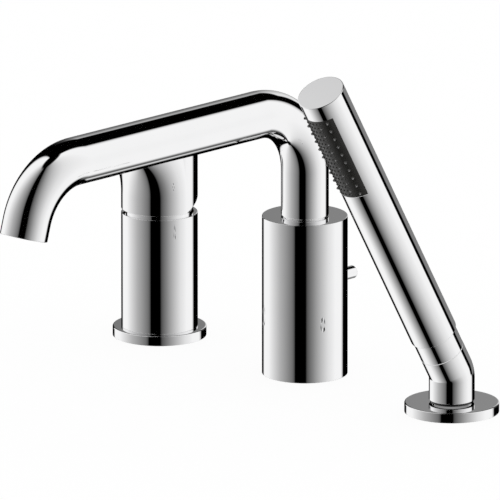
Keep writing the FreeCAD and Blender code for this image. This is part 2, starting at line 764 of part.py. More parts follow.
def build_swivel():
    """Journal of the spout in the valve core, with its sealing, locking and slide rings."""
    insert = new_body("spout_swivel_journal")
    groove_floor = "journal_rad - ring_groove_deep"
    points = [("journal_bore", "journal_foot"), ("journal_rad", "journal_foot")]
    lock_floor = "journal_rad - lock_groove_deep"
    points += groove_points("journal_rad", lock_floor, "lock_z", "lock_groove_wide")
    for low in ("ring_z - ring_pitch", "ring_z"):
        points += groove_points("journal_rad", groove_floor, low, "ring_groove_wide")
    points += [
        ("journal_rad", "spout_foot"),
        ("spout_inner - thread_gap", "spout_foot"),
        ("spout_inner - thread_gap", "spout_foot + journal_grip"),
        ("journal_bore", "spout_foot + journal_grip"),
    ]
    revolve(insert, points)

    rings = new_body("spout_o_rings")
    for height in ("ring_z - ring_pitch", "ring_z"):
        add(rings, "AdditiveTorus", ("0", "0", height), Radius2="ring_section / 2",
            Radius1=f"{groove_floor} + ring_section / 2 + ring_play")

    lock = new_body("spout_lock_ring")
    revolve(lock, ring_points(
        f"{lock_floor} + turn_gap", "swivel_bore + lock_groove_deep - turn_gap",
        "lock_z - lock_groove_wide / 2 + turn_gap", "lock_z + lock_groove_wide / 2 - turn_gap"))

    slide = new_body("spout_slide_ring")
    revolve(slide, ring_points(
        "swivel_bore + fit_gap", "spout_rad - slide_ring_step", "block_top", "spout_foot"))


def groove_points(radius, floor, middle, width):
    """Return the corners of a groove in a shaft, from its low side to its high one."""
    return [
        (radius, f"{middle} - {width} / 2"),
        (floor, f"{middle} - {width} / 2"),
        (floor, f"{middle} + {width} / 2"),
        (radius, f"{middle} + {width} / 2"),
    ]


def build_spout():
    """Swept spout tube, with the aerator in its outlet."""
    spout = new_body("spout_tube")
    sweep_tube(spout, "spout_rad", "spout_inner", "spout_foot", [
        ("0", "spout_foot"),
        ("0", "rise_top"),
        ("-spout_bend", "spout_axis_height", "-spout_bend", "rise_top"),
        ("outlet_bend_y", "spout_axis_height"),
        ("outlet_bend_y - spout_bend * sin(outlet_turn)", "rise_top + spout_bend * cos(outlet_turn)",
         "outlet_bend_y", "rise_top"),
        ("-spout_reach", "outlet_z"),
    ])

    outlet = ("0", "-spout_reach", "outlet_z")
    lean_out = (X_AXIS, "outlet_turn - 90")
    housing = new_body("aerator_housing", outlet, lean_out)
    aerator_rad = "spout_inner - thread_gap"
    revolve(housing, ring_points(
        f"{aerator_rad} - aerator_wall", aerator_rad, "aerator_inset", "aerator_long"))
    seal = new_body("aerator_seal", outlet, lean_out)
    revolve(seal, ring_points(
        f"{aerator_rad} - 2 * aerator_wall", f"{aerator_rad} - fit_gap",
        "aerator_long", "aerator_long + aerator_seal_thick"))
    grid = new_body("aerator_grid", outlet, lean_out)
    grid_rad = f"{aerator_rad} - aerator_wall - fit_gap"
    revolve(grid, drum_points(grid_rad, "2 * aerator_inset", "aerator_long"))
    bore_grid(grid)


def bore_grid(grid):
    """Bore the aerator's grid with rings of small holes."""
    for ring in range(1, AERATOR_RINGS + 1):
        first = add(grid, "SubtractiveCylinder", (f"{ring} * aerator_pitch", "0", "0"),
                    Radius="aerator_cell / 2", Height="aerator_long")
        pattern = grid.newObject("PartDesign::PolarPattern", f"GridRing{ring}")
        pattern.Originals = [first]
        pattern.Axis = (next(item for item in grid.Origin.OriginFeatures if item.Role == "Z_Axis"), [""])
        pattern.Angle = 360.0
        pattern.Occurrences = 6 * ring
        grid.Tip = pattern


def build_diverter():
    """Pull diverter: bush, valve disc, spring, rod and knob on one axis along Y."""
    axis_place = ("0", "0", "diverter_height")
    bush = new_body("diverter_bush", axis_place, ALONG_Y)
    bush_rad = "diverter_rad - thread_gap"
    revolve(bush, [
        ("diverter_seat_dia / 2", "diverter_seat"),
        (bush_rad, "diverter_seat"),
        (bush_rad, "block_waist + fit_gap"),
        (f"{bush_rad} + diverter_lip", "block_waist + fit_gap"),
        (f"{bush_rad} + diverter_lip", "bush_end"),
        ("rod_dia / 2 + turn_gap", "bush_end"),
        ("rod_dia / 2 + turn_gap", "diverter_seat + diverter_lip + diverter_window"),
        (f"{bush_rad} - diverter_lip", "diverter_seat + diverter_lip + diverter_window"),
        (f"{bush_rad} - diverter_lip", "diverter_seat + diverter_lip"),
        ("diverter_seat_dia / 2", "diverter_seat + diverter_lip"),
    ])
    add(bush, "SubtractiveCylinder", ("0", "diverter_rad", "spout_port_y"), ALONG_MINUS_Y,
        Radius="diverter_window / 2 - fit_gap", Height="diverter_bore_dia")

    disc = new_body("diverter_valve_disc", axis_place, ALONG_Y)
    revolve(disc, ring_points("rod_dia / 2", "diverter_rad - 2 * lift_gap", "disc_front", "disc_back"))

    rod = new_body("diverter_rod", axis_place, ALONG_Y)
    revolve(rod, [
        ("0", "disc_front - rod_head_thick"),
        ("rod_head_dia / 2", "disc_front - rod_head_thick"),
        ("rod_head_dia / 2", "disc_front"),
        ("rod_dia / 2", "disc_front"),
        ("rod_dia / 2", "knob_front + rod_grip"),
        ("0", "knob_front + rod_grip"),
    ])

    spring = new_body("diverter_spring", axis_place, ALONG_Y)
    revolve(spring, ring_points(
        "rod_dia / 2 + lift_gap", "rod_dia / 2 + lift_gap + spring_wall",
        "disc_back + turn_gap", "diverter_seat + diverter_lip + diverter_window - turn_gap"))

    knob = new_body("diverter_knob", axis_place, ALONG_Y)
    revolve(knob, [
        ("rod_dia / 2", "knob_front"),
        ("knob_dia / 2 - edge_break", "knob_front"),
        ("knob_dia / 2", "knob_front + edge_break"),
        ("knob_dia / 2", "knob_front + knob_long - edge_break"),
        ("knob_dia / 2 - edge_break", "knob_front + knob_long"),
        ("0", "knob_front + knob_long"),
        ("0", "knob_front + rod_grip + thread_gap"),
        ("rod_dia / 2", "knob_front + rod_grip + thread_gap"),
    ])


def build_holder():
    """Shank, swivelling elbow and liner that hold the hand shower."""
    station = ("station_spacing", "0", "0")
    escutcheon = new_body("shower_escutcheon", station)
    revolve(escutcheon, escutcheon_rim("foot_collar_dia / 2 + fit_gap") + [
        ("holder_journal + fit_gap", "escutcheon_tall"),
        ("holder_journal + fit_gap", "escutcheon_tall - cover_thick"),
        ("foot_collar_dia / 2 + fit_gap", "escutcheon_tall - cover_thick"),
    ])
    build_escutcheon_seal("shower_escutcheon_seal", "station_spacing")

    shank = new_body("shower_shank", station)
    snap_floor = "holder_journal - snap_groove_deep"
    revolve(shank, [
        ("hose_bore_dia / 2", "shank_end"),
        ("shank_rad", "shank_end"),
        ("shank_rad", "0"),
        ("foot_collar_dia / 2", "0"),
        ("foot_collar_dia / 2", "collar_tall"),
        ("holder_journal", "collar_tall"),
        *groove_points("holder_journal", snap_floor, "snap_height", "snap_groove_wide"),
        ("holder_journal", "holder_journal_top"),
        ("hose_bore_dia / 2", "holder_journal_top"),
    ])

    snap = new_body("holder_snap_ring", station)
    revolve(snap, ring_points(
        f"{snap_floor} + turn_gap", "elbow_bore + snap_groove_deep - turn_gap",
        "snap_height - snap_groove_wide / 2 + turn_gap", "snap_height + snap_groove_wide / 2 - turn_gap"))

    slide = new_body("holder_slide_ring", station)
    revolve(slide, ring_points(
        "holder_journal + fit_gap", "elbow_rad - swivel_ring_step", "escutcheon_tall", "elbow_foot"))

    elbow = new_body("shower_elbow", station)
    sweep_tube(elbow, "elbow_rad", "elbow_bore", "elbow_foot", [
        ("0", "elbow_foot"),
        ("0", "elbow_height - bend_tangent"),
        ("-bend_tangent * sin(lean)", "elbow_height + bend_tangent * cos(lean)",
         "-elbow_bend", "elbow_height - bend_tangent"),
        ("-seam_at * sin(lean)", "elbow_height + seam_at * cos(lean)"),
    ])
    add(elbow, "SubtractiveCylinder", ("0", "0", "snap_height - snap_groove_wide / 2"),
        Radius="elbow_bore + snap_groove_deep", Height="snap_groove_wide")

    liner = new_body("holder_liner", *STICK_FRAME)
    revolve(liner, ring_points("liner_bore", "elbow_bore - fit_gap", "seam_at - liner_long", "seam_at"))


def build_handset():
    """Hand shower: hose sleeve, inlet, body, duct, spray plate and nozzle mat."""
    sleeve = new_body("handset_hose_sleeve", *STICK_FRAME)
    thread_room = "inlet_thread_dia / 2 + thread_gap"
    seal_foot = "inlet_foot - inlet_seal_thick"
    revolve(sleeve, [
        ("spigot_bore", "sleeve_foot - spigot_long"),
        ("spigot_rad", "sleeve_foot - spigot_long"),
        ("spigot_rad", "sleeve_foot"),
        ("stick_rad - collar_step", "sleeve_foot"),
        ("stick_rad - collar_step", "collar_top"),
        (thread_room, "collar_top"),
        (thread_room, seal_foot),
        ("spigot_bore", seal_foot),
    ])

    seal = new_body("handset_inlet_seal", *STICK_FRAME)
    revolve(seal, ring_points(
        "inlet_bore_dia / 2", "inlet_thread_dia / 2 - fit_gap", seal_foot, "inlet_foot"))

    inlet = new_body("handset_inlet", *STICK_FRAME)
    revolve(inlet, [
        ("inlet_bore_dia / 2", "inlet_foot"),
        ("inlet_thread_dia / 2", "inlet_foot"),
        ("inlet_thread_dia / 2", "collar_top"),
        ("stick_inner - fit_gap", "collar_top"),
        ("stick_inner - fit_gap", "inlet_top"),
        ("inlet_bore_dia / 2", "inlet_top"),
    ])

    valve = new_body("handset_check_valve", *STICK_FRAME)
    valve_foot = "inlet_top - check_valve_long"
    revolve(valve, ring_points(
        "check_valve_bore / 2", "inlet_bore_dia / 2 - fit_gap", valve_foot, "inlet_top"))

    stick = new_body("handset_body", *STICK_FRAME)
    revolve(stick, [
        ("stick_inner", "collar_top"),
        ("stick_rad", "collar_top"),
        ("stick_rad", "stick_end - edge_break"),
        ("stick_rad - edge_break", "stick_end"),
        ("0", "stick_end"),
        ("0", "stick_end - stick_cap"),
        ("stick_inner", "stick_end - stick_cap"),
    ])
    add(stick, "SubtractiveCylinder", ("0", "0", "spray_bottom"), (Z_AXIS, "-90 - spray_half_angle"),
        Radius="stick_dia", Height="spray_long", Angle="2 * spray_half_angle")

    duct = new_body("handset_water_duct", *STICK_FRAME)
    chamber_rad = "mat_inner - turn_gap"
    cone_foot = "spray_bottom - 2 * duct_cone"
    revolve(duct, [
        ("duct_dia / 2 - duct_wall", "inlet_top"),
        ("duct_dia / 2", "inlet_top"),
        ("duct_dia / 2", cone_foot),
        (chamber_rad, f"{cone_foot} + duct_cone"),
        (chamber_rad, "spray_top + duct_wall"),
        ("0", "spray_top + duct_wall"),
        ("0", "spray_top"),
        (f"{chamber_rad} - duct_wall", "spray_top"),
        (f"{chamber_rad} - duct_wall", f"{cone_foot} + duct_cone"),
        ("duct_dia / 2 - duct_wall", cone_foot),
    ])
    mouth_half = "(spray_half_angle - 2 * mat_inset)"
    add(duct, "SubtractiveCylinder", ("0", "0", "spray_bottom + duct_wall"),
        (Z_AXIS, f"-90 - {mouth_half}"),
        Radius="stick_dia", Height="spray_long - 2 * duct_wall", Angle=f"2 * {mouth_half}")


def shell_segment(inner, outer, low, high, half_angle):
    """Return a part of a tube wall, centred on the -Y side of the hand shower's own frame."""
    start = FreeCAD.Vector(0, 0, low)
    wall = Part.makeCylinder(outer, high - low, start, Z_AXIS, 2 * half_angle)
    wall = wall.cut(Part.makeCylinder(inner, high - low, start))
    wall.rotate(ORIGIN, Z_AXIS, -SQUARE - half_angle)
    return wall


def nozzle_places():
    """Return the angle and height of each nozzle, in five staggered columns."""
    rows = round(value("nozzle_rows"))
    pitch = value("nozzle_pitch")
    middle = value("spray_bottom + spray_long / 2")
    places = []
    for column in (-2, -1, 0, 1, 2):
        count = rows - column % 2
        foot = middle - pitch * (count - 1) / 2
        places += [(column * value("nozzle_angle"), foot + pitch * row) for row in range(count)]
    return places


def radial_cone(angle, height, start, stop, start_rad, stop_rad):
    """Return a cone that points out of the hand shower at one nozzle's place."""
    way = FreeCAD.Rotation(Z_AXIS, angle).multVec(FreeCAD.Vector(0, -1, 0))
    foot = way * start + FreeCAD.Vector(0, 0, height)
    if math.isclose(start_rad, stop_rad):
        return Part.makeCylinder(start_rad, stop - start, foot, way)
    return Part.makeCone(start_rad, stop_rad, stop - start, foot, way)


def build_spray_face():
    """Spray plate and the soft nozzle mat behind it, whose nozzles come out through the plate."""
    stick_rad, plate_inner = value("stick_rad"), value("plate_inner")
    side_gap = math.degrees(value("fit_gap / stick_rad"))
    low, high = value("spray_bottom + fit_gap"), value("spray_top - fit_gap")
    half = value("spray_half_angle") - side_gap
    base_rad, tip_rad = value("nozzle_base_dia / 2"), value("nozzle_tip_dia / 2")
    hole_rad = base_rad + value("turn_gap")
    mat_inner, mat_outer = value("mat_inner"), value("mat_outer")
    tip = stick_rad + value("nozzle_out")
    plate = shell_segment(plate_inner, stick_rad, low, high, half)
    plate = plate.cut([radial_cone(angle, height, mat_inner, tip, hole_rad, hole_rad)
                       for angle, height in nozzle_places()])
    inset = value("mat_inset")
    mat = shell_segment(mat_inner, mat_outer, low, high, half - inset)
    mat_middle = (mat_inner + mat_outer) / 2
    for angle, height in nozzle_places():
        barrel = radial_cone(angle, height, mat_middle, stick_rad, base_rad, base_rad)
        nub = radial_cone(angle, height, stick_rad, tip, base_rad, tip_rad)
        mat = mat.fuse([barrel, nub])
    for label, shape in (("spray_plate", plate), ("spray_nozzle_mat", mat.removeSplitter())):
        feature = doc.addObject("Part::Feature", label)
        feature.Label = label
        feature.Shape = shape
        place(feature, *STICK_FRAME)
        bodies.append(feature)


def check_and_write():
    """Check every object and write each sub-part's shape."""
    doc.recompute()
    failed = [item.Label for item in doc.Objects if {"Invalid", "Error"} & set(item.State)]
    failed += [body.Label for body in bodies if body.Shape.isNull() or not body.Shape.isValid()]
    if failed:
        raise RuntimeError(f"failed: {', '.join(failed)}")
    os.makedirs("parts", exist_ok=True)
    for body in bodies:
        body.Shape.exportStep(f"parts/{body.Label}.step")
        print(f"{body.Label}: {len(body.Shape.Solids)} solid, {body.Shape.Volume / 1000:.3f} cm3")


build_deck_fixings()
build_mixer_column()
build_cartridge()
build_handle()
build_spout_body()
build_swivel()
build_spout()
build_diverter()
build_holder()
build_handset()
build_spray_face()
check_and_write()
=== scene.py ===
"""Looks of the deck-mounted tub faucet: lever mixer, arched spout with a pull diverter, and hand shower.

Every polished piece is a surface of revolution, a tube carried along a bent axis, or a patchwork of
cylinder, ring and ball, worked out with numpy and given its exact normals, because a mirror finish
shows every facet. Sizes are millimetres until a mesh is made.
"""

from __future__ import annotations

import json
import logging
import math
from dataclasses import dataclass, field, replace
from enum import Enum
from typing import Sequence

import bpy
import numpy as np
from mathutils import Matrix, Vector

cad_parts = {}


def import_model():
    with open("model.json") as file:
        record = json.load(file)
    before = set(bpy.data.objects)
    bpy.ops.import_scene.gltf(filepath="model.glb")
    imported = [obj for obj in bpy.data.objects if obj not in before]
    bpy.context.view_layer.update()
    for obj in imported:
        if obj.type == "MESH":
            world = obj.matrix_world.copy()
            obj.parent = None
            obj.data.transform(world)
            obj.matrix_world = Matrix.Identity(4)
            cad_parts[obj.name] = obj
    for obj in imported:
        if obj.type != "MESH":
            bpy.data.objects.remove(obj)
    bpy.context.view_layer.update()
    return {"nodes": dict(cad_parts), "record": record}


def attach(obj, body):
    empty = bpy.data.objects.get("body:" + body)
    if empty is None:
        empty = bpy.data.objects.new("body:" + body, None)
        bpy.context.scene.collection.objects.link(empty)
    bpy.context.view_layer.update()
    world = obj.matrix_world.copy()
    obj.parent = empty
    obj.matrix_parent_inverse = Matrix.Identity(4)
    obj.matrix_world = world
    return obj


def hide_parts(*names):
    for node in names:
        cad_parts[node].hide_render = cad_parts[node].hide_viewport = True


LOG = logging.getLogger("tub_faucet")
MM = 0.001
QUARTER_TURN = math.pi / 2.0
HALF_TURN = math.pi
FULL_TURN = 2.0 * math.pi
WELD = 1.0e-5
NOISE_MIDDLE = (0.3, 0.7)
MIXER_X = -131.0
SHOWER_X = 131.0
UP = (0.0, 0.0, 1.0)
DOWN = (0.0, 0.0, -1.0)
FORWARD = (0.0, -1.0, 0.0)
BACKWARD = (0.0, 1.0, 0.0)

Array = np.ndarray
Node = bpy.types.Node
Socket = bpy.types.NodeSocket
Pair = tuple[float, float]
Point = tuple[float, float, float]
Four = tuple[float, float, float, float]


class Body(Enum):
    """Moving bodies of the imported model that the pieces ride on."""

    DECK_SET = "deck_set"
    LEVER = "lever"
    SPOUT = "spout"
    DIVERTER = "diverter"
    HOLDER = "shower_holder"
    HAND_SHOWER = "hand_shower"


class Slot(Enum):
    """Material slots of the record."""

    CHROME = "chrome"
    BRASS = "brass"
    STEEL = "stainless_steel"
    RUBBER = "black_rubber"
    SILICONE = "grey_silicone"
    CERAMIC = "ceramic"
    WHITE_PLASTIC = "white_plastic"
    GREY_PLASTIC = "grey_plastic"
    BLACK_PLASTIC = "black_plastic"


# Lines of points


def stacked(*parts: Array | float) -> Array:
    """Return points, directions or cells from their parts, spread over one grid."""
    return np.stack(np.broadcast_arrays(*parts), axis=-1)


def unit(rows: Array) -> Array:
    """Return each row with a length of one."""
    return rows / np.linalg.norm(rows, axis=1)[:, None]


def spread(direction: Array, rows: int) -> Array:
    """Return ROWS copies of a line of directions."""
    return np.repeat(direction[None], rows, axis=0)


def between(first: Array, last: Array, steps: int) -> Array:
    """Return rows of points that go evenly from one line of points to another."""
    share = np.linspace(0.0, 1.0, steps + 1)[:, None, None]
    return first[None] + share * (last - first)[None]


def turned_between(first: Array, last: Array, steps: int) -> Array:
    """Return unit directions that turn evenly from FIRST to LAST along the great circle between them.

    With w the angle between them, share t gives (sin((1 - t) w) * first + sin(t w) * last) / sin(w).
    """
    angle = np.arccos(np.clip(np.sum(first * last, axis=-1), -1.0, 1.0))[None, :, None]
    share = np.linspace(0.0, 1.0, steps + 1)[:, None, None]
    return (np.sin((1.0 - share) * angle) * first[None] + np.sin(share * angle) * last[None]) / np.sin(angle)


def all_round(count: int) -> Array:
    """Return angles for a whole turn in COUNT steps."""
    return np.linspace(0.0, FULL_TURN, count + 1)


# Outlines: the section of a round piece, in a plane through its axis


@dataclass(frozen=True)
class Corner:
    """A corner of an outline: its place along the axis, its distance out from it, and its rounding."""

    along: float
    out: float
    round: float = 0.0


@dataclass(frozen=True)
class Run:
    """A stretch of an outline: rows of (along, out), and the way each one faces in the same plane."""

    place: Array
    facing: Array


def left_of(way: Array) -> Array:
    """Return the direction a quarter turn to the left of WAY, which is the outline's outer side."""
    return np.array((-way[1], way[0]))


def outline(*rows: tuple[float, ...], closed: bool = True, steps: int = 5) -> list[Run]:
    """Turn corners into straight runs joined by arcs.

    The arc at a corner touches both its sides: it starts and ends round * tan(turn / 2) away from the
    corner, and its points are centre + round * facing, where facing turns evenly from one side's
    outward direction to the other's.

    Args:
        rows: the values of each corner in order, with the outside of the piece on the left.
        closed: whether the last corner joins the first.
        steps: number of faces in each arc.

    Returns:
        The runs in order, each with its outward directions.
    """
    corners = [Corner(*row) for row in rows]
    spots = np.array([(corner.along, corner.out) for corner in corners])
    count = len(corners)
    entry, leave = spots.copy(), spots.copy()
    arcs: dict[int, Run] = {}
    for index in range(count) if closed else range(1, count - 1):
        radius = corners[index].round
        if radius <= 0.0:
            continue
        before = spots[index] - spots[index - 1]
        after = spots[(index + 1) % count] - spots[index]
        way_in = before / np.linalg.norm(before)
        way_out = after / np.linalg.norm(after)
        turn = math.atan2(way_in[0] * way_out[1] - way_in[1] * way_out[0], float(way_in @ way_out))
        reach = radius * math.tan(abs(turn) / 2.0)
        entry[index] = spots[index] - reach * way_in
        leave[index] = spots[index] + reach * way_out
        first = left_of(way_in)
        angles = math.atan2(first[1], first[0]) + np.linspace(0.0, turn, steps + 1)
        facing = stacked(np.cos(angles), np.sin(angles))
        bulge = -math.copysign(radius, turn)
        arcs[index] = Run(entry[index] - bulge * first + bulge * facing, facing)
    runs: list[Run] = []
    for index in range(count if closed else count - 1):
        after = (index + 1) % count
        if index in arcs:
            runs.append(arcs[index])
        way = entry[after] - leave[index]
        length = float(np.linalg.norm(way))
        if length > WELD:
            facing = left_of(way / length)
            runs.append(Run(np.array((leave[index], entry[after])), spread(facing, 2)))
    return runs


def open_outline(*rows: tuple[float, ...], steps: int = 5) -> list[Run]:
    """Return the runs of an outline whose two ends don't join."""
    return outline(*rows, closed=False, steps=steps)


def arc_run(centre: Pair, radius: float, ends: Pair, steps: int, way: float = 1.0) -> Run:
    """Return an arc of an outline about a point on or off the axis.

    Its points are centre + radius * (cos, sin) of an angle that goes evenly from start to end,
    measured from the axis direction towards outwards. A WAY of 1 faces away from the centre, and
    one of -1 faces it.
    """
    angles = np.radians(np.linspace(*ends, steps + 1))
    ray = stacked(np.cos(angles), np.sin(angles))
    return Run(np.array(centre) + radius * ray, way * ray)


def tube_outline(low: float, high: float, outer: float, inner: float, rounds: Four) -> list[Run]:
    """Return the outline of a tube's wall.

    Args:
        low: where the tube starts along its axis.
        high: where it ends.
        outer: its outer radius.
        inner: its inner radius.
        rounds: rounding of its edges: outer start, outer end, inner end, inner start.
    """
    places = ((low, outer), (high, outer), (high, inner), (low, inner))
    return outline(*((*place, edge) for place, edge in zip(places, rounds)))


# Axes and sheets


@dataclass(frozen=True)
class Axis:
    """The line a round piece is built about: straight runs and arcs that lie in one plane.

    Fields: start, heading (unit), toward (unit, the side that its arcs turn to), runs of (length,
    bend radius), where a radius of 0 is a straight run, and the degrees of arc from ring to ring.
    """

    start: Point
    heading: Point
    toward: Point
    runs: tuple[Pair, ...] = ((1000.0, 0.0),)
    step: float = 2.5

    def length(self) -> float:
        """Return the length of all the runs."""
        return sum(length for length, _ in self.runs)

    def stops(self, low: float, high: float) -> Array:
        """Return the places between LOW and HIGH where a tube needs a ring: run ends and points of arcs."""
        places = [np.array((low, high))]
        begin = 0.0
        for length, bend in self.runs:
            end = begin + length
            count = max(1, round(math.degrees(length / bend) / self.step)) if bend > 0.0 else 1
            inside = np.linspace(begin, end, count + 1)
            places.append(inside[(inside > low + WELD) & (inside < high - WELD)])
            begin = end
        return np.unique(np.concatenate(places))

    def fill(self, run: Run) -> Run:
        """Return RUN with rings added wherever this axis bends under it."""
        first, last = run.place[0], run.place[-1]
        if len(run.place) != 2 or abs(first[0] - last[0]) < WELD:
            return run
        along = self.stops(min(first[0], last[0]), max(first[0], last[0]))
        along = along if first[0] < last[0] else along[::-1]
        share = ((along - first[0]) / (last[0] - first[0]))[:, None]
        return Run(first + share * (last - first), spread(run.facing[0], len(along)))

    def frames(self, along: Array) -> tuple[Array, Array, Array, Array]:
        """Return centre, direction and the two crossways directions at each place.

        With t the heading turned by an angle, the angle grows by length / bend in an arc, and the
        centre moves by bend * (sin(after) - sin(before)) along the heading and
        bend * (cos(before) - cos(after)) toward the side.
        """
        heading, toward = np.array(self.heading), np.array(self.toward)
        spot, angle = np.zeros((len(along), 2)), np.zeros(len(along))
        base, base_angle, begin = np.zeros(2), 0.0, 0.0
        for index, (length, bend) in enumerate(self.runs):
            last = index == len(self.runs) - 1
            here = (along >= begin - WELD) & ((along < begin + length - WELD) | last)
            past = along[here] - begin
            angle[here] = base_angle + (past / bend if bend > 0.0 else 0.0)
            spot[here] = base + self.advance(base_angle, past, bend)
            base = base + self.advance(base_angle, np.array((length,)), bend)[0]
            base_angle += length / bend if bend > 0.0 else 0.0
            begin += length
        centre = np.array(self.start) + spot[:, :1] * heading + spot[:, 1:] * toward
        ahead = np.cos(angle)[:, None] * heading + np.sin(angle)[:, None] * toward
        inward = np.cos(angle)[:, None] * toward - np.sin(angle)[:, None] * heading
        return centre, ahead, -inward, spread(np.cross(toward, heading), len(along))

    @staticmethod
    def advance(angle: float, past: Array, bend: float) -> Array:
        """Return how far the line has moved, along the heading and toward the side, after each length."""
        if bend <= 0.0:
            return stacked(past * math.cos(angle), past * math.sin(angle))
        after = angle + past / bend
        return bend * stacked(np.sin(after) - math.sin(angle), math.cos(angle) - np.cos(after))


@dataclass
class Sheet:
    """A grid of points of a surface, with the outward direction at each point."""

    points: Array
    normals: Array


def upright(x: float) -> Axis:
    """Return the vertical axis of a station; its angles start at +Y and turn toward +X."""
    return Axis((x, 0.0, 0.0), UP, FORWARD)


def shell(runs: Sequence[Run], axis: Axis, angles: Array) -> list[Sheet]:
    """Carry an outline round its axis.

    A point is centre(along) + out * radial, where radial = cos(angle) * crossways + sin(angle) * level,
    and its normal is facing_out * radial + facing_along * direction.
    """
    sheets = []
    for run in runs:
        full = axis.fill(run)
        centre, ahead, crossways, level = (line[:, None, :] for line in axis.frames(full.place[:, 0]))
        radial = np.cos(angles)[None, :, None] * crossways + np.sin(angles)[None, :, None] * level
        points = centre + full.place[:, 1, None, None] * radial
        normals = full.facing[:, 1, None, None] * radial + full.facing[:, 0, None, None] * ahead
        sheets.append(Sheet(points, normals))
    return sheets


def ruled(first: Array, last: Array, facing: Array | Point) -> Sheet:
    """Return the straight surface between two lines of points, or a line and one point."""
    return Sheet(between(first, last, 1), spread(np.broadcast_to(facing, first.shape), 2))


def cut_side(axis: Axis, ends: Pair, radii: Pair, angle: float, way: float) -> Sheet:
    """Return the flat side of a slab cut from a tube, at one angle of its axis.

    Args:
        axis: the tube's axis.
        ends: where the side starts and ends along it.
        radii: the tube's outer and inner radius.
        angle: the angle of the cut.
        way: 1 where the side faces on toward larger angles, and -1 where it faces back.
    """
    centre, _, crossways, level = axis.frames(np.array(ends))
    radial = math.cos(angle) * crossways + math.sin(angle) * level
    facing = way * (math.cos(angle) * level - math.sin(angle) * crossways)
    return ruled(centre + radii[0] * radial, centre + radii[1] * radial, facing)


def mirrored(sheets: Sequence[Sheet]) -> list[Sheet]:
    """Return SHEETS and their mirror images across the plane x = 0."""
    flip = np.array((-1.0, 1.0, 1.0))
    return [*sheets, *(Sheet(sheet.points * flip, sheet.normals * flip) for sheet in sheets)]


def shifted(sheets: Sequence[Sheet], offset: Point) -> list[Sheet]:
    """Return SHEETS moved by OFFSET."""
    return [Sheet(sheet.points + np.array(offset), sheet.normals) for sheet in sheets]


def mesh_from_sheets(name: str, sheets: Sequence[Sheet]) -> bpy.types.Mesh:
    """Weld sheets into one mesh that keeps each sheet's own normals at its corners.

    Each cell of a grid is a face, turned so that its own normal agrees with the sheet's. Points that
    coincide become one vertex, and a cell with two equal corners becomes a triangle.

    Args:
        name: name of the mesh.
        sheets: grids of points in millimetres.

    Returns:
        The mesh, in metres.
    """
    corners, base = [], 0
    for sheet in sheets:
        rows, columns = sheet.points.shape[:2]
        index = np.arange(rows * columns).reshape(rows, columns)
        cells = stacked(index[:-1, :-1], index[:-1, 1:], index[1:, 1:], index[1:, :-1]).reshape(-1, 4)
        flat = sheet.points.reshape(-1, 3)
        across = flat[cells[:, 2]] - flat[cells[:, 0]]
        other = flat[cells[:, 3]] - flat[cells[:, 1]]
        facing = sheet.normals.reshape(-1, 3)[cells].sum(axis=1)
        turned = float(np.sum(np.cross(across, other) * facing)) < 0.0
        corners.append(base + (cells[:, ::-1] if turned else cells))
        base += rows * columns
    points = np.concatenate([sheet.points.reshape(-1, 3) for sheet in sheets])
    directions = np.concatenate([sheet.normals.reshape(-1, 3) for sheet in sheets])
    faces = np.concatenate(corners)
    keys = np.rint(points / WELD).astype(np.int64)
    _, first, weld = np.unique(keys, axis=0, return_index=True, return_inverse=True)
    welded = weld.reshape(-1)[faces]
    keep = welded != np.roll(welded, -1, axis=1)
    whole = keep.sum(axis=1) >= 3
    keep &= whole[:, None]
    totals = keep[whole].sum(axis=1)
    starts = np.concatenate(((0,), np.cumsum(totals)[:-1]))
    corner_vertex = welded[keep]

    mesh = bpy.data.meshes.new(name)
    mesh.vertices.add(len(first))
    mesh.vertices.foreach_set("co", (points[first] * MM).astype(np.float32).ravel())
    mesh.loops.add(len(corner_vertex))
    mesh.loops.foreach_set("vertex_index", corner_vertex.astype(np.int32))
    mesh.polygons.add(len(starts))
    mesh.polygons.foreach_set("loop_start", starts.astype(np.int32))
    mesh.update(calc_edges=True)
    mesh.normals_split_custom_set(directions[faces[keep]].astype(np.float32))
    return mesh


# Finishes


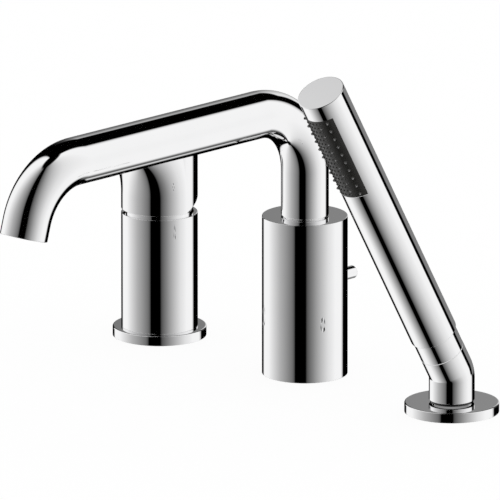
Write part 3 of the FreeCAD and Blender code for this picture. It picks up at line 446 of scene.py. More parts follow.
class Sketch:
    """A node tree being drawn, of a material or of the world: each call adds nodes and feeds them."""

    def __init__(self, owner: bpy.types.Material | bpy.types.World) -> None:
        """Start with an empty tree."""
        owner.use_nodes = True
        self.owner = owner
        self.tree = owner.node_tree
        self.tree.nodes.clear()

    def node(self, kind: str, *values: object, operation: str = "", **inputs: object) -> Node:
        """Add a node and feed its inputs: a socket is linked, and anything else is set.

        Args:
            kind: its type, without the word that all these types start with.
            values: what its first inputs get, in order.
            operation: what it works out, for a math node.
            inputs: what inputs get by name, with an underscore for a space.

        Returns:
            The node.
        """
        made = self.tree.nodes.new(f"ShaderNode{kind}")
        if operation:
            made.operation = operation
        named = [(made.inputs[name.replace("_", " ")], value) for name, value in inputs.items()]
        for socket, value in (*zip(made.inputs, values), *named):
            if isinstance(value, Socket):
                self.tree.links.new(value, socket)
            else:
                socket.default_value = value
        return made

    def math(self, operation: str, *values: object) -> Socket:
        """Return the result of a math operation on numbers and sockets."""
        return self.node("Math", *values, operation=operation).outputs[0]

    def noise(self, scale: float, detail: float, stretch: Point = (1.0, 1.0, 1.0)) -> Socket:
        """Return a noise over the object's own coordinates, with its grain stretched along the axes."""
        place = self.node("TexCoord").outputs["Object"]
        mapped = self.node("Mapping", Vector=place, Scale=stretch).outputs["Vector"]
        return self.node("TexNoise", Vector=mapped, Scale=scale, Detail=detail).outputs["Fac"]

    def between(self, value: Socket, low: float, high: float) -> Socket:
        """Return the middle of a noise stretched onto low..high."""
        start, end = NOISE_MIDDLE
        ranged = self.node("MapRange", Value=value, From_Min=start, From_Max=end, To_Min=low, To_Max=high)
        return ranged.outputs["Result"]

    def ramp(self, value: Socket, stops: Sequence[tuple[float, Point]]) -> Socket:
        """Return a colour that follows the stops, each a place from 0 to 1 and a colour."""
        made = self.node("ValToRGB", value)
        elements = made.color_ramp.elements
        while len(elements) < len(stops):
            elements.new(0.5)
        for element, (where, colour) in zip(elements, stops):
            element.position = where
            element.color = (*colour, 1.0)
        return made.outputs["Color"]

    def tones(self, value: Socket, colour: Point, shade: float) -> Socket:
        """Return a tone that varies between COLOUR times SHADE and COLOUR itself."""
        dark = tuple(part * shade for part in colour)
        return self.ramp(value, list(zip(NOISE_MIDDLE, (dark, colour))))

    def bump(self, height: Socket, strength: float, distance: float) -> Socket:
        """Return a normal raised by HEIGHT."""
        return self.node("Bump", Height=height, Strength=strength, Distance=distance).outputs["Normal"]

    def surface(self, **inputs: object) -> bpy.types.Material:
        """Add the shader with its inputs and the output, and return the material."""
        shader = self.node("BsdfPrincipled", **inputs)
        self.node("OutputMaterial", Surface=shader.outputs["BSDF"])
        return self.owner


@dataclass(frozen=True)
class PolishedChrome:
    """Mirror-bright plating: its gloss varies a little, as hand buffing leaves it."""

    name: str = "polished_chrome"
    slot: Slot = Slot.CHROME
    colour: Point = (0.90, 0.90, 0.905)
    gloss: Pair = (0.015, 0.035)
    shade: float = 0.985
    cloud: Pair = (55.0, 4.0)
    haze: Pair = (900.0, 2.0)

    def material(self) -> bpy.types.Material:
        """Return the material."""
        sketch = Sketch(bpy.data.materials.new(self.name))
        return sketch.surface(
            Base_Color=sketch.tones(sketch.noise(*self.cloud), self.colour, self.shade),
            Metallic=1.0,
            Roughness=sketch.between(sketch.noise(*self.haze), *self.gloss),
        )


@dataclass(frozen=True)
class TurnedMetal:
    """Machined brass or steel: fine turning marks across the axis and a slightly uneven tone."""

    name: str
    slot: Slot
    colour: Point
    gloss: Pair = (0.24, 0.4)
    marks: float = 900.0
    detail: float = 2.0
    stretch: Point = (0.02, 0.02, 1.0)
    shade: float = 0.86
    cloud: Pair = (60.0, 5.0)
    relief: Pair = (0.12, 0.00003)

    def material(self) -> bpy.types.Material:
        """Return the material."""
        sketch = Sketch(bpy.data.materials.new(self.name))
        rings = sketch.noise(self.marks, self.detail, self.stretch)
        return sketch.surface(
            Base_Color=sketch.tones(sketch.noise(*self.cloud), self.colour, self.shade),
            Metallic=1.0,
            Roughness=sketch.between(rings, *self.gloss),
            Normal=sketch.bump(rings, *self.relief),
        )


@dataclass(frozen=True)
class Moulded:
    """Moulded plastic, rubber or silicone: a fine grain and a slightly uneven tone."""

    name: str
    slot: Slot
    colour: Point
    gloss: Pair = (0.35, 0.5)
    grain: float = 2600.0
    relief: float = 0.15
    detail: float = 3.0
    depth: float = 0.00004
    shade: float = 0.88
    cloud: Pair = (90.0, 4.0)

    def material(self) -> bpy.types.Material:
        """Return the material."""
        sketch = Sketch(bpy.data.materials.new(self.name))
        cloud = sketch.noise(*self.cloud)
        return sketch.surface(
            Base_Color=sketch.tones(cloud, self.colour, self.shade),
            Roughness=sketch.between(cloud, *self.gloss),
            Normal=sketch.bump(sketch.noise(self.grain, self.detail), self.relief, self.depth),
        )


RECIPES = (
    PolishedChrome(),
    TurnedMetal("machined_brass", Slot.BRASS, (0.78, 0.60, 0.32)),
    TurnedMetal("stainless_steel", Slot.STEEL, (0.62, 0.62, 0.63), (0.22, 0.36), 1400.0),
    Moulded("black_rubber", Slot.RUBBER, (0.040, 0.040, 0.045), (0.55, 0.75)),
    Moulded("grey_silicone", Slot.SILICONE, (0.34, 0.34, 0.34), grain=1800.0, relief=0.08),
    Moulded("lapped_ceramic", Slot.CERAMIC, (0.90, 0.89, 0.85), (0.08, 0.16), 1200.0, 0.02),
    Moulded("white_plastic", Slot.WHITE_PLASTIC, (0.80, 0.80, 0.78)),
    Moulded("grey_plastic", Slot.GREY_PLASTIC, (0.034, 0.033, 0.030), (0.24, 0.36), relief=0.12),
    Moulded("black_plastic", Slot.BLACK_PLASTIC, (0.012, 0.012, 0.013), (0.12, 0.2), relief=0.05),
)


@dataclass
class Finishes:
    """The finishes of the whole faucet, each made once."""

    made: dict[Slot, bpy.types.Material] = field(default_factory=dict)

    def prepare(self) -> None:
        """Make every finish."""
        self.made.update((recipe.slot, recipe.material()) for recipe in RECIPES)

    def dress(self, thing: bpy.types.Object, slot: Slot) -> None:
        """Give one finish to an object."""
        thing.data.materials.clear()
        thing.data.materials.append(self.made[slot])


@dataclass
class Workshop:
    """What every sub-assembly needs: the finishes, and how a piece is made and set in place of its CAD node.
    """

    finishes: Finishes

    def piece(self, name: str, sheets: Sequence[Sheet], body: Body, node: str,
              slot: Slot = Slot.CHROME, in_mirrors: bool = False) -> None:
        """Make a piece from its sheets, dress it and set it in place of the CAD node it shows.

        Args:
            name: the piece's name.
            sheets: its surfaces, in millimetres.
            body: the moving body it rides on.
            node: the CAD node that it replaces.
            slot: the finish it takes.
            in_mirrors: whether polished surfaces show it; the photograph's show only what stands on them.
        """
        mesh = mesh_from_sheets(name, sheets)
        thing = bpy.data.objects.new(name, mesh)
        bpy.context.scene.collection.objects.link(thing)
        self.finishes.dress(thing, slot)
        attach(thing, body.value)
        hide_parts(node)
        thing.visible_glossy = in_mirrors
        LOG.info("%s: %d faces on %s", name, len(mesh.polygons), body.value)


@dataclass
class Unit:
    """A sub-assembly: it builds its pieces in the workshop, with so many faces about each axis."""

    workshop: Workshop
    facets: int = 160

    def turned(self, name: str, runs: Sequence[Run], axis: Axis, body: Body, node: str,
               slot: Slot = Slot.CHROME, in_mirrors: bool = False) -> None:
        """Build a piece from an outline carried all round an axis; the rest is as Workshop.piece takes it."""
        self.workshop.piece(name, shell(runs, axis, all_round(self.facets)), body, node, slot, in_mirrors)


# Walls with a round hole, built for x >= 0 and mirrored


@dataclass(frozen=True)
class Hole:
    """A round hole in a vertical round wall, on its +Y side, inside a square window of the wall's grid."""

    height: float
    radius: float
    window: float
    columns: int = 8
    rows: int = 10
    rings: int = 6
    margin_rows: int = 3

    def edge_angle(self, wall: float) -> float:
        """Return the angle from +Y at which the window round the hole ends."""
        return math.asin(self.window / wall)

    def levels(self) -> Array:
        """Return the heights of the rows that pass the hole."""
        return np.linspace(self.height - self.window, self.height + self.window, self.rows + 1)

    def collar(self, wall: float, facing: float) -> tuple[Sheet, Array]:
        """Return the wall between the window's edge and the hole, and the hole's own edge.

        In the (x, z) plane, each ring lies at an even share of the way from the window's edge to the
        circle in the same direction, and y = sqrt(wall^2 - x^2) puts it on the wall.
        """
        levels = self.levels()
        x = wall * np.sin(np.linspace(0.0, self.edge_angle(wall), self.columns + 1))
        border = np.concatenate((
            stacked(x, levels[0]), stacked(x[-1], levels)[1:], stacked(x[::-1], levels[-1])[1:]))
        edge = (0.0, self.height) + self.radius * unit(border - (0.0, self.height))
        across, height = np.moveaxis(between(border, edge, self.rings), -1, 0)
        depth = np.sqrt(wall ** 2 - across ** 2)
        points = stacked(across, depth, height)
        return Sheet(points, facing * stacked(across, depth, 0.0) / wall), points[-1]


def wall_sheet(radius: float, angles: Array, heights: Array, facing: float) -> Sheet:
    """Return part of a vertical round wall; x = radius * sin(angle), y = radius * cos(angle).

    ANGLES and HEIGHTS are grids, or a line of each that spans a grid.
    """
    angle, height = np.broadcast_arrays(angles, heights)
    points = stacked(radius * np.sin(angle), radius * np.cos(angle), height)
    return Sheet(points, facing * stacked(np.sin(angle), np.cos(angle), 0.0))


def half_columns(wall: float, hole: Hole, steps: int) -> Array:
    """Return angles from +Y round to -Y that fit the window of a hole and the corners of a square."""
    edge, corner = hole.edge_angle(wall), QUARTER_TURN / 2.0
    parts = (
        np.linspace(0.0, edge, hole.columns + 1),
        np.linspace(edge, corner, steps // 3 + 1)[1:],
        np.linspace(corner, QUARTER_TURN, steps // 2 + 1)[1:],
        np.linspace(QUARTER_TURN, HALF_TURN, steps + 1)[1:],
    )
    return np.concatenate(parts)


def pierced_wall(run: Run, hole: Hole, columns: Array) -> tuple[list[Sheet], Array]:
    """Return half of a vertical round wall with a hole in it, and the hole's edge."""
    low, high = sorted((run.place[0, 0], run.place[-1, 0]))
    wall, facing = run.place[0, 1], math.copysign(1.0, run.facing[0, 1])
    near, far = columns[:hole.columns + 1], columns[hole.columns:]
    under = np.linspace(low, hole.levels()[0], hole.margin_rows + 1)
    over = np.linspace(hole.levels()[-1], high, hole.margin_rows + 1)
    every = np.concatenate((under[:-1], hole.levels(), over[1:]))
    collar, edge = hole.collar(wall, facing)
    parts = ((near, under), (near, over), (far, every))
    return [*(wall_sheet(wall, turns, rows[:, None], facing) for turns, rows in parts), collar], edge


def bore_sheet(outer: Array, inner: Array, hole: Hole) -> Sheet:
    """Return the wall of a hole between its two edges; it faces the hole's own axis."""
    return ruled(outer, inner, unit(stacked(-outer[:, 0], 0.0, hole.height - outer[:, 2])))


# Mixer


@dataclass(frozen=True)
class LeverHandle:
    """The mixer's handle: a column that bends forward into a lever with a flat top.

    It is the union of a cylinder, a quarter ring, a lying cylinder and a ball of one radius, cut flat
    at the top with a small rounding, and hollowed from below. Heights are above the deck, and the
    handle's own axis is x = y = 0.
    """

    radius: float = 24.5
    bend: float = 57.5
    bend_height: float = 95.0
    foot: float = 84.0
    top: float = 136.0
    rim: float = 1.0
    foot_edge: float = 0.3
    lever_run: float = 8.4
    relief: float = 25.0
    pivot: float = 82.0
    room: float = 22.3
    socket_half: float = 4.15
    socket_top: float = 117.45
    plug_hole: Hole = Hole(110.8, 3.55, 5.6)
    plug_floor: float = 22.1
    columns: int = 48
    rim_columns: int = 56
    rim_rows: int = 7
    pivot_rows: int = 4
    bend_rows: int = 44
    lever_rows: int = 2
    tip_rows: int = 32
    foot_rows: int = 4
    low_rows: int = 5
    column_rows: tuple[int, int] = (7, 13)
    hollow_rows: int = 12
    repeats: int = 30

    def crease(self, height: Array) -> tuple[Array, Array]:
        """Return, for heights on the line where column and bend meet, its cosine and the bend's angle.

        With h the height above the bend's start, the cosine c of the tube angle is h^2 / (4 bend radius),
        and the bend's own angle is atan2(h, bend - radius * c).
        """
        rise = height - self.bend_height
        cosine = rise ** 2 / (4.0 * self.bend * self.radius)
        return cosine, np.arctan2(rise, self.bend - self.radius * cosine)

    def ring_point(self, angle: Array, cosine: Array) -> tuple[Array, Array]:
        """Return points and normals of the bend at its own angle and the cosine of the tube angle.

        The point is the bend's centre line plus radius times the normal
        (sin(a), cos(a) * cos(angle), cos(a) * sin(angle)).
        """
        sine = np.sqrt(np.maximum(0.0, 1.0 - cosine ** 2))
        normal = stacked(sine, cosine * np.cos(angle), cosine * np.sin(angle))
        forward, height = self.bend * (np.cos(angle) - 1.0), self.bend_height + self.bend * np.sin(angle)
        return stacked(0.0, forward, height) + self.radius * normal, normal

    def tip_point(self, normal: Array, turn: Array) -> tuple[Array, Array]:
        """Return points and normals of the ball at the lever's tip, with NORMAL swung forward by TURN."""
        across, up = normal[..., 0], normal[..., 2]
        swung = stacked(across * np.cos(turn), -across * np.sin(turn), up)
        centre = np.array((0.0, -self.bend - self.lever_run, self.bend_height + self.bend))
        return centre + self.radius * swung, swung

    def tip_turns(self) -> Array:
        """Return the turns of the rows round the tip."""
        return np.linspace(0.0, QUARTER_TURN, self.tip_rows + 1)

    def meeting_height(self) -> float:
        """Return how high on the crease the top's rounding starts on the bend's side.

        There the height equals top - rim * (1 - normal's upward part), found by repetition.
        """
        height = self.top - self.rim
        for _ in range(self.repeats):
            cosine, angle = self.crease(np.array(height))
            height = self.top - self.rim * (1.0 - float(cosine * np.sin(angle)))
        return height

    def top_cosine(self, angle: Array) -> Array:
        """Return the tube cosine at which the top's rounding starts on the bend at each of its angles."""
        level = self.top - self.rim - self.bend_height
        return (level / np.sin(angle) - self.bend) / (self.radius - self.rim)

    def rim_line(self) -> tuple[Array, Array]:
        """Return the line below the top's rounding, from the back to the lever's tip, with its normals."""
        start = self.top - self.rim
        meeting = self.meeting_height()
        cosine, _ = self.crease(np.array(start))
        turn = np.linspace(0.0, QUARTER_TURN + math.asin(float(cosine)), self.rim_columns + 1)
        column_normal = stacked(np.sin(turn), np.cos(turn), 0.0)
        column = self.radius * column_normal + (0.0, 0.0, start)

        height = self.pivot_heights()
        cosine, angle = self.crease(height)
        pivot, ring_normal = self.ring_point(angle, cosine)
        wall_turn = QUARTER_TURN + np.arcsin(cosine)
        ring_turn = np.arctan2(ring_normal[:, 0], ring_normal[:, 1])
        share = (height - start) / (meeting - start)
        level_turn = wall_turn + share * (ring_turn - wall_turn)
        rise = (height - start) / self.rim
        flat = np.sqrt(1.0 - rise ** 2)
        pivot_normal = stacked(flat * np.sin(level_turn), flat * np.cos(level_turn), rise)

        angle = self.late_angles()
        bend, bend_normal = self.ring_point(angle, self.top_cosine(angle))
        lever = bend[-1] + self.lever_steps()[1:]
        tip, tip_normal = self.tip_point(bend_normal[-1], self.tip_turns()[1:])
        lever_normal = spread(bend_normal[-1], len(lever))
        line = (column, pivot[1:], bend[1:], lever, tip)
        normals = (column_normal, pivot_normal[1:], bend_normal[1:], lever_normal, tip_normal)
        return np.concatenate(line), np.concatenate(normals)

    def pivot_heights(self) -> Array:
        """Return heights on the crease where the rounding swings from the column's side to the bend's."""
        return np.linspace(self.top - self.rim, self.meeting_height(), self.pivot_rows + 1)

    def late_angles(self) -> Array:
        """Return angles of the bend from the crease's end to the lever."""
        _, start = self.crease(np.array(self.meeting_height()))
        return np.linspace(float(start), QUARTER_TURN, self.bend_rows + 1)

    def lever_steps(self) -> Array:
        """Return how far forward the rows of the straight lever lie."""
        return stacked(0.0, np.linspace(0.0, -self.lever_run, self.lever_rows + 1), 0.0)

    def top_sheets(self) -> list[Sheet]:
        """Return the rounding along the top and the flat top itself.

        The rounding is a ball of radius rim rolled along the line: its centre is point - rim * normal,
        and its normal turns evenly up to vertical.
        """
        line, normals = self.rim_line()
        turned = turned_between(normals, np.array(UP), self.rim_rows)
        rounding = (line - self.rim * normals)[None] + self.rim * turned
        edge = rounding[-1]
        return [Sheet(rounding, turned), ruled(edge, edge * (0.0, 1.0, 1.0), UP)]

    def column_heights(self) -> Array:
        """Return heights of the rows of the column above the start of the bend."""
        levels = self.plug_hole.levels()
        below = np.linspace(self.bend_height, levels[0], self.column_rows[0] + 1)
        above = np.linspace(levels[-1], self.top - self.rim, self.column_rows[1] + 1)
        return np.concatenate((below[:-1], levels, above[1:]))

    def column_sheets(self) -> tuple[list[Sheet], Array]:
        """Return the column's outer wall, and the edge of the plug's hole."""
        columns = half_columns(self.radius, self.plug_hole, self.columns)
        count = self.plug_hole.columns
        near, edge_angle = columns[:count + 1], columns[count]
        back = columns[columns <= QUARTER_TURN + WELD]
        rows, levels = self.column_heights(), self.plug_hole.levels()
        cosine, _ = self.crease(rows)
        share = (back[count:] - edge_angle) / (QUARTER_TURN - edge_angle)
        limit = QUARTER_TURN + np.arcsin(cosine)
        front = edge_angle + share[None, :] * (limit[:, None] - edge_angle)
        collar, edge = self.plug_hole.collar(self.radius, 1.0)
        centre, _ = self.foot_centres(columns)
        share = np.linspace(0.0, 1.0, self.low_rows + 1)[:, None]
        low = centre[None, :, 2] + share * (self.bend_height - centre[None, :, 2])
        parts = (
            (columns, low),
            (near, rows[rows <= levels[0] + WELD][:, None]),
            (near, rows[rows >= levels[-1] - WELD][:, None]),
            (front, rows[:, None]),
        )
        walls = [wall_sheet(self.radius, turns, heights, 1.0) for turns, heights in parts]
        return [*walls, collar], edge

    def foot_centres(self, columns: Array) -> tuple[Array, Array]:
        """Return the centres of the small ball that rounds the foot, and which way the foot faces there.

        The foot is level in front and rises at the relief angle behind, so that the lever can lift:
        the centre's height is foot + (y * sin(relief) + edge) / cos(relief), with no relief in front.
        """
        slope = np.where(np.cos(columns) > WELD, math.radians(self.relief), 0.0)
        reach = self.radius - self.foot_edge
        y = reach * np.cos(columns)
        height = self.foot + (y * np.sin(slope) + self.foot_edge) / np.cos(slope)
        return stacked(reach * np.sin(columns), y, height), stacked(0.0, np.sin(slope), -np.cos(slope))

    def hollow_sheets(self) -> list[Sheet]:
        """Return the foot's edge, the ring it stands on and the hollow with its square socket.

        The hollow is a ball about the pivot. Where it meets the sloping foot, its distance out is the
        root of d^2 (1 + k^2) + 2 k b d + b^2 = room^2, with k the slope there and b the foot above the pivot.
        """
        columns = half_columns(self.radius, self.plug_hole, self.columns)
        sine, cosine = np.sin(columns), np.cos(columns)
        centre, facing = self.foot_centres(columns)
        side = stacked(sine, cosine, 0.0)
        turned = turned_between(side, facing, self.foot_rows)
        edge = centre[None] + self.foot_edge * turned
        rise = self.foot - self.pivot
        slope = np.maximum(0.0, cosine) * math.tan(math.radians(self.relief))
        root = np.sqrt((slope * rise) ** 2 + (1.0 + slope ** 2) * (self.room ** 2 - rise ** 2))
        out = (root - slope * rise) / (1.0 + slope ** 2)
        mouth = side * out[:, None] + UP * (self.foot + slope * out)[:, None]
        square = self.socket_half / np.maximum(np.abs(sine), np.abs(cosine))
        start, end = np.arcsin(out / self.room), np.arcsin(square / self.room)
        angle = between(start[:, None], end[:, None], self.hollow_rows)
        ray = np.sin(angle) * side[None] + np.cos(angle) * UP
        ball = self.room * ray + (0.0, 0.0, self.pivot)
        roof = ball[-1] * (1.0, 1.0, 0.0) + (0.0, 0.0, self.socket_top)
        across = np.abs(sine) > np.abs(cosine) + WELD
        wall = np.where(across[:, None], (-1.0, 0.0, 0.0), stacked(0.0, -np.sign(cosine), 0.0))
        return [
            Sheet(edge, turned),
            ruled(edge[-1], mouth, facing),
            Sheet(ball, -ray),
            ruled(ball[-1], roof, wall),
            ruled(roof, np.array((0.0, 0.0, self.socket_top)), DOWN),
        ]

    def lever_sheets(self) -> list[Sheet]:
        """Return the bend, the straight lever and its rounded tip."""
        cosine, angle = self.crease(np.concatenate((self.column_heights(), self.pivot_heights()[1:])))
        late = self.late_angles()[1:]
        angle = np.concatenate((angle, late))
        start = np.arccos(np.concatenate((cosine, self.top_cosine(late))))[:, None]
        tube = start + np.linspace(0.0, 1.0, self.columns + 1)[None, :] * (HALF_TURN - start)
        bend, bend_normal = self.ring_point(angle[:, None], np.cos(tube))
        lever = bend[-1][None] + self.lever_steps()[:, None, :]
        tip, tip_normal = self.tip_point(bend_normal[-1], self.tip_turns()[:, None])
        lever_normal = spread(bend_normal[-1], len(lever))
        return [Sheet(bend, bend_normal), Sheet(lever, lever_normal), Sheet(tip, tip_normal)]

    def sheets(self) -> list[Sheet]:
        """Return the whole handle about its own axis."""
        column, edge = self.column_sheets()
        floor = edge * (1.0, 0.0, 1.0) + (0.0, self.plug_floor, 0.0)
        centre = np.array((0.0, self.plug_floor, self.plug_hole.height))
        recess = [bore_sheet(edge, floor, self.plug_hole), ruled(floor, centre, BACKWARD)]
        return mirrored([*column, *recess, *self.lever_sheets(), *self.top_sheets(), *self.hollow_sheets()])


@dataclass(frozen=True)
class Escutcheon:
    """A round foot plate with a rounded top edge, a groove for its seal and a stepped bore."""

    radius: float = 30.0
    top: float = 6.3
    round: float = 0.8
    foot_edge: float = 0.15
    bore_edge: float = 0.1
    groove: Point = (25.0, 28.0, 1.0)
    low_bore: Pair = (16.15, 2.5)
    high_bore: float = 22.0

    def runs(self) -> list[Run]:
        """Return the outline, up the outside, over the top and down the bore to the groove."""
        inner, outer, deep = self.groove
        low_bore, step = self.low_bore
        return outline(
            (0.0, self.radius, self.foot_edge),
            (self.top, self.radius, self.round),
            (self.top, self.high_bore, self.bore_edge),
            (step, self.high_bore),
            (step, low_bore),
            (0.0, low_bore),
            (0.0, inner),
            (deep, inner),
            (deep, outer),
            (0.0, outer),
        )


def pin_sheets(start: Point, ends: Pair, radius: float, rounds: Pair, facets: int) -> list[Sheet]:
    """Return a short round pin that points away from the front, with rounded edges.

    Args:
        start: a point of its axis.
        ends: where it starts and ends, behind that point.
        radius: its radius.
        rounds: rounding of its two edges.
        facets: number of faces round it.
    """
    (near, far), (near_edge, far_edge) = ends, rounds
    runs = open_outline((near, 0.0), (near, radius, near_edge), (far, radius, far_edge), (far, 0.0))
    return shell(runs, Axis(start, BACKWARD, UP), all_round(facets))


@dataclass
class Mixer(Unit):
    """Foot, column, dome and lever handle of the mixer."""

    facets: int = 192
    column: Four = (6.3, 81.4, 24.5, 22.0)
    foot_rounds: Four = (0.15, 0.0, 0.0, 0.0)
    column_rounds: Four = (0.0, 0.5, 0.1, 0.0)
    foot_split: float = 8.0
    dome: Point = (21.5, 20.3, 14.5)
    dome_seat: float = 80.0
    dome_bore: float = 19.35
    dome_edge: float = 0.2
    dome_steps: tuple[int, int] = (40, 24)
    handle: LeverHandle = LeverHandle()
    plug: float = 3.4
    plug_ends: Pair = (22.1, 24.2)
    plug_edges: Pair = (0.2, 0.4)
    plug_facets: int = 64

    def build(self) -> None:
        """Build the mixer's visible pieces; the column's foot is apart, so that the plate mirrors it."""
        axis, deck = upright(MIXER_X), Body.DECK_SET
        low, high, *radii = self.column
        foot = tube_outline(low, self.foot_split, *radii, self.foot_rounds)
        column = tube_outline(self.foot_split, high, *radii, self.column_rounds)
        handle = shifted(self.handle.sheets(), (MIXER_X, 0.0, 0.0))
        start = (MIXER_X, 0.0, self.handle.plug_hole.height)
        plug = pin_sheets(start, self.plug_ends, self.plug, self.plug_edges, self.plug_facets)
        self.turned("mixer_foot_plate", Escutcheon().runs(), axis, deck, "mixer_escutcheon")
        self.turned("mixer_column_foot", foot, axis, deck, "mixer_column_sleeve", in_mirrors=True)
        self.turned("mixer_column_tube", column, axis, deck, "mixer_column_sleeve")
        self.turned("mixer_dome_cap", self.dome_runs(), axis, deck, "mixer_dome", in_mirrors=True)
        self.workshop.piece("lever_handle_body", handle, Body.LEVER, "lever_handle", in_mirrors=True)
        self.workshop.piece("lever_plug_cap", plug, Body.LEVER, "lever_screw_plug")

    def dome_runs(self) -> list[Run]:
        """Return the dome's outline: a short skirt, a ball's zone outside, its mouth and a zone inside."""
        outer, inner, mouth = self.dome
        centre = (self.handle.pivot, 0.0)
        outer_end = math.degrees(math.asin(mouth / outer))
        inner_start = math.degrees(math.asin(mouth / inner))
        inner_end = math.degrees(math.asin(self.dome_bore / inner))
        zone = arc_run(centre, outer, (90.0, outer_end), self.dome_steps[0])
        hollow = arc_run(centre, inner, (inner_start, inner_end), self.dome_steps[1], way=-1.0)
        skirt = open_outline(
            (hollow.place[-1, 0], self.dome_bore),
            (self.dome_seat, self.dome_bore),
            (self.dome_seat, outer, self.dome_edge),
            (self.handle.pivot, outer),
        )
        lip = open_outline((zone.place[-1, 0], mouth), (hollow.place[0, 0], mouth))
        return [*skirt, zone, *lip, hollow]


# Spout


@dataclass(frozen=True)
class SpoutSleeve:
    """The spout body's sleeve: a tube with a thick cap, and a hole for the diverter's rod."""

    outer: float = 27.25
    inner: float = 25.0
    top: float = 103.4
    under_cap: float = 100.4
    bore: float = 12.25
    foot_edge: float = 0.2
    edge: float = 0.4
    bore_edge: float = 0.15
    rod_hole: Hole = Hole(58.0, 2.6, 5.0)
    columns: int = 96

    def is_wall(self, run: Run) -> bool:
        """Return whether a run is one of the two tall walls that the hole goes through."""
        return len(run.place) == 2 and abs(run.place[0, 0] - run.place[1, 0]) > self.top / 2.0

    def sheets(self) -> list[Sheet]:
        """Return the sleeve: its outline carried round, with the two pierced walls put in."""
        runs = outline(
            (0.0, self.outer, self.foot_edge),
            (self.top, self.outer, self.edge),
            (self.top, self.bore, self.bore_edge),
            (self.under_cap, self.bore),
            (self.under_cap, self.inner),
            (0.0, self.inner),
        )
        columns = half_columns(self.outer, self.rod_hole, self.columns)
        inner_hole = replace(self.rod_hole, window=self.rod_hole.window * self.inner / self.outer)
        sheets: list[Sheet] = []
        edges: list[Array] = []
        for run in runs:
            if self.is_wall(run):
                hole = self.rod_hole if run.facing[0, 1] > 0.0 else inner_hole
                wall, edge = pierced_wall(run, hole, columns)
                sheets += wall
                edges.append(edge)
            else:
                sheets += shell([run], upright(0.0), columns)
        return mirrored([*sheets, bore_sheet(*edges, self.rod_hole)])


@dataclass
class SpoutUnit(Unit):
    """Body, tube, outlet and diverter knob of the spout."""

    tube: Pair = (15.2, 13.2)
    foot: float = 104.2
    foot_split: float = 2.7
    rise: float = 29.3
    bend: float = 43.5
    reach: float = 250.0
    outlet_turn: float = 74.0
    outlet_run: float = 10.2
    foot_rounds: Four = (0.3, 0.0, 0.0, 0.1)
    arch_rounds: Four = (0.0, 0.45, 0.45, 0.0)
    slide_ring: Four = (103.4, 104.2, 14.3, 12.25)
    ring_rounds: Four = (0.1, 0.1, 0.0, 0.0)
    housing: Pair = (13.1, 11.5)
    housing_ends: Pair = (5.2, 0.3)
    housing_rounds: Four = (0.1, 0.3, 0.3, 0.1)
    knob: float = 4.1
    knob_ends: Pair = (28.0, 43.5)
    knob_edges: Pair = (0.4, 0.5)
    knob_facets: int = 96
    knob_height: float = 58.0

    def level(self) -> float:
        """Return the length of the bar's straight stretch.

        The bends and the outlet leave it reach - bend * (1 + sin(turn)) - run * cos(turn).
        """
        turn = math.radians(self.outlet_turn)
        return self.reach - self.bend * (1.0 + math.sin(turn)) - self.outlet_run * math.cos(turn)

    def axis(self) -> Axis:
        """Return the spout's centre line, from its foot to its outlet."""
        runs = (
            (self.rise, 0.0),
            (self.bend * QUARTER_TURN, self.bend),
            (self.level(), 0.0),
            (self.bend * math.radians(self.outlet_turn), self.bend),
            (self.outlet_run, 0.0),
        )
        return Axis((0.0, 0.0, self.foot), UP, FORWARD, runs, 1.5)

    def build(self) -> None:
        """Build the spout's visible pieces; the arch's foot is apart, so that the body's top mirrors it."""
        axis, spout = self.axis(), Body.SPOUT
        end = axis.length()
        near, far = (end - past for past in self.housing_ends)
        ring = tube_outline(*self.slide_ring, self.ring_rounds)
        foot = tube_outline(0.0, self.foot_split, *self.tube, self.foot_rounds)
        arch = tube_outline(self.foot_split, end, *self.tube, self.arch_rounds)
        housing = tube_outline(near, far, *self.housing, self.housing_rounds)
        start = (0.0, 0.0, self.knob_height)
        knob = pin_sheets(start, self.knob_ends, self.knob, self.knob_edges, self.knob_facets)
        self.workshop.piece("spout_body_tube", SpoutSleeve().sheets(), Body.DECK_SET, "spout_body_sleeve")
        self.turned("spout_foot_ring", ring, upright(0.0), spout, "spout_slide_ring", in_mirrors=True)
        self.turned("spout_arch_foot", foot, axis, spout, "spout_tube", in_mirrors=True)
        self.turned("spout_arch", arch, axis, spout, "spout_tube")
        self.turned("aerator_ring", housing, axis, spout, "aerator_housing")
        self.workshop.piece("diverter_pull_knob", knob, Body.DIVERTER, "diverter_knob")


# Hand shower and its holder


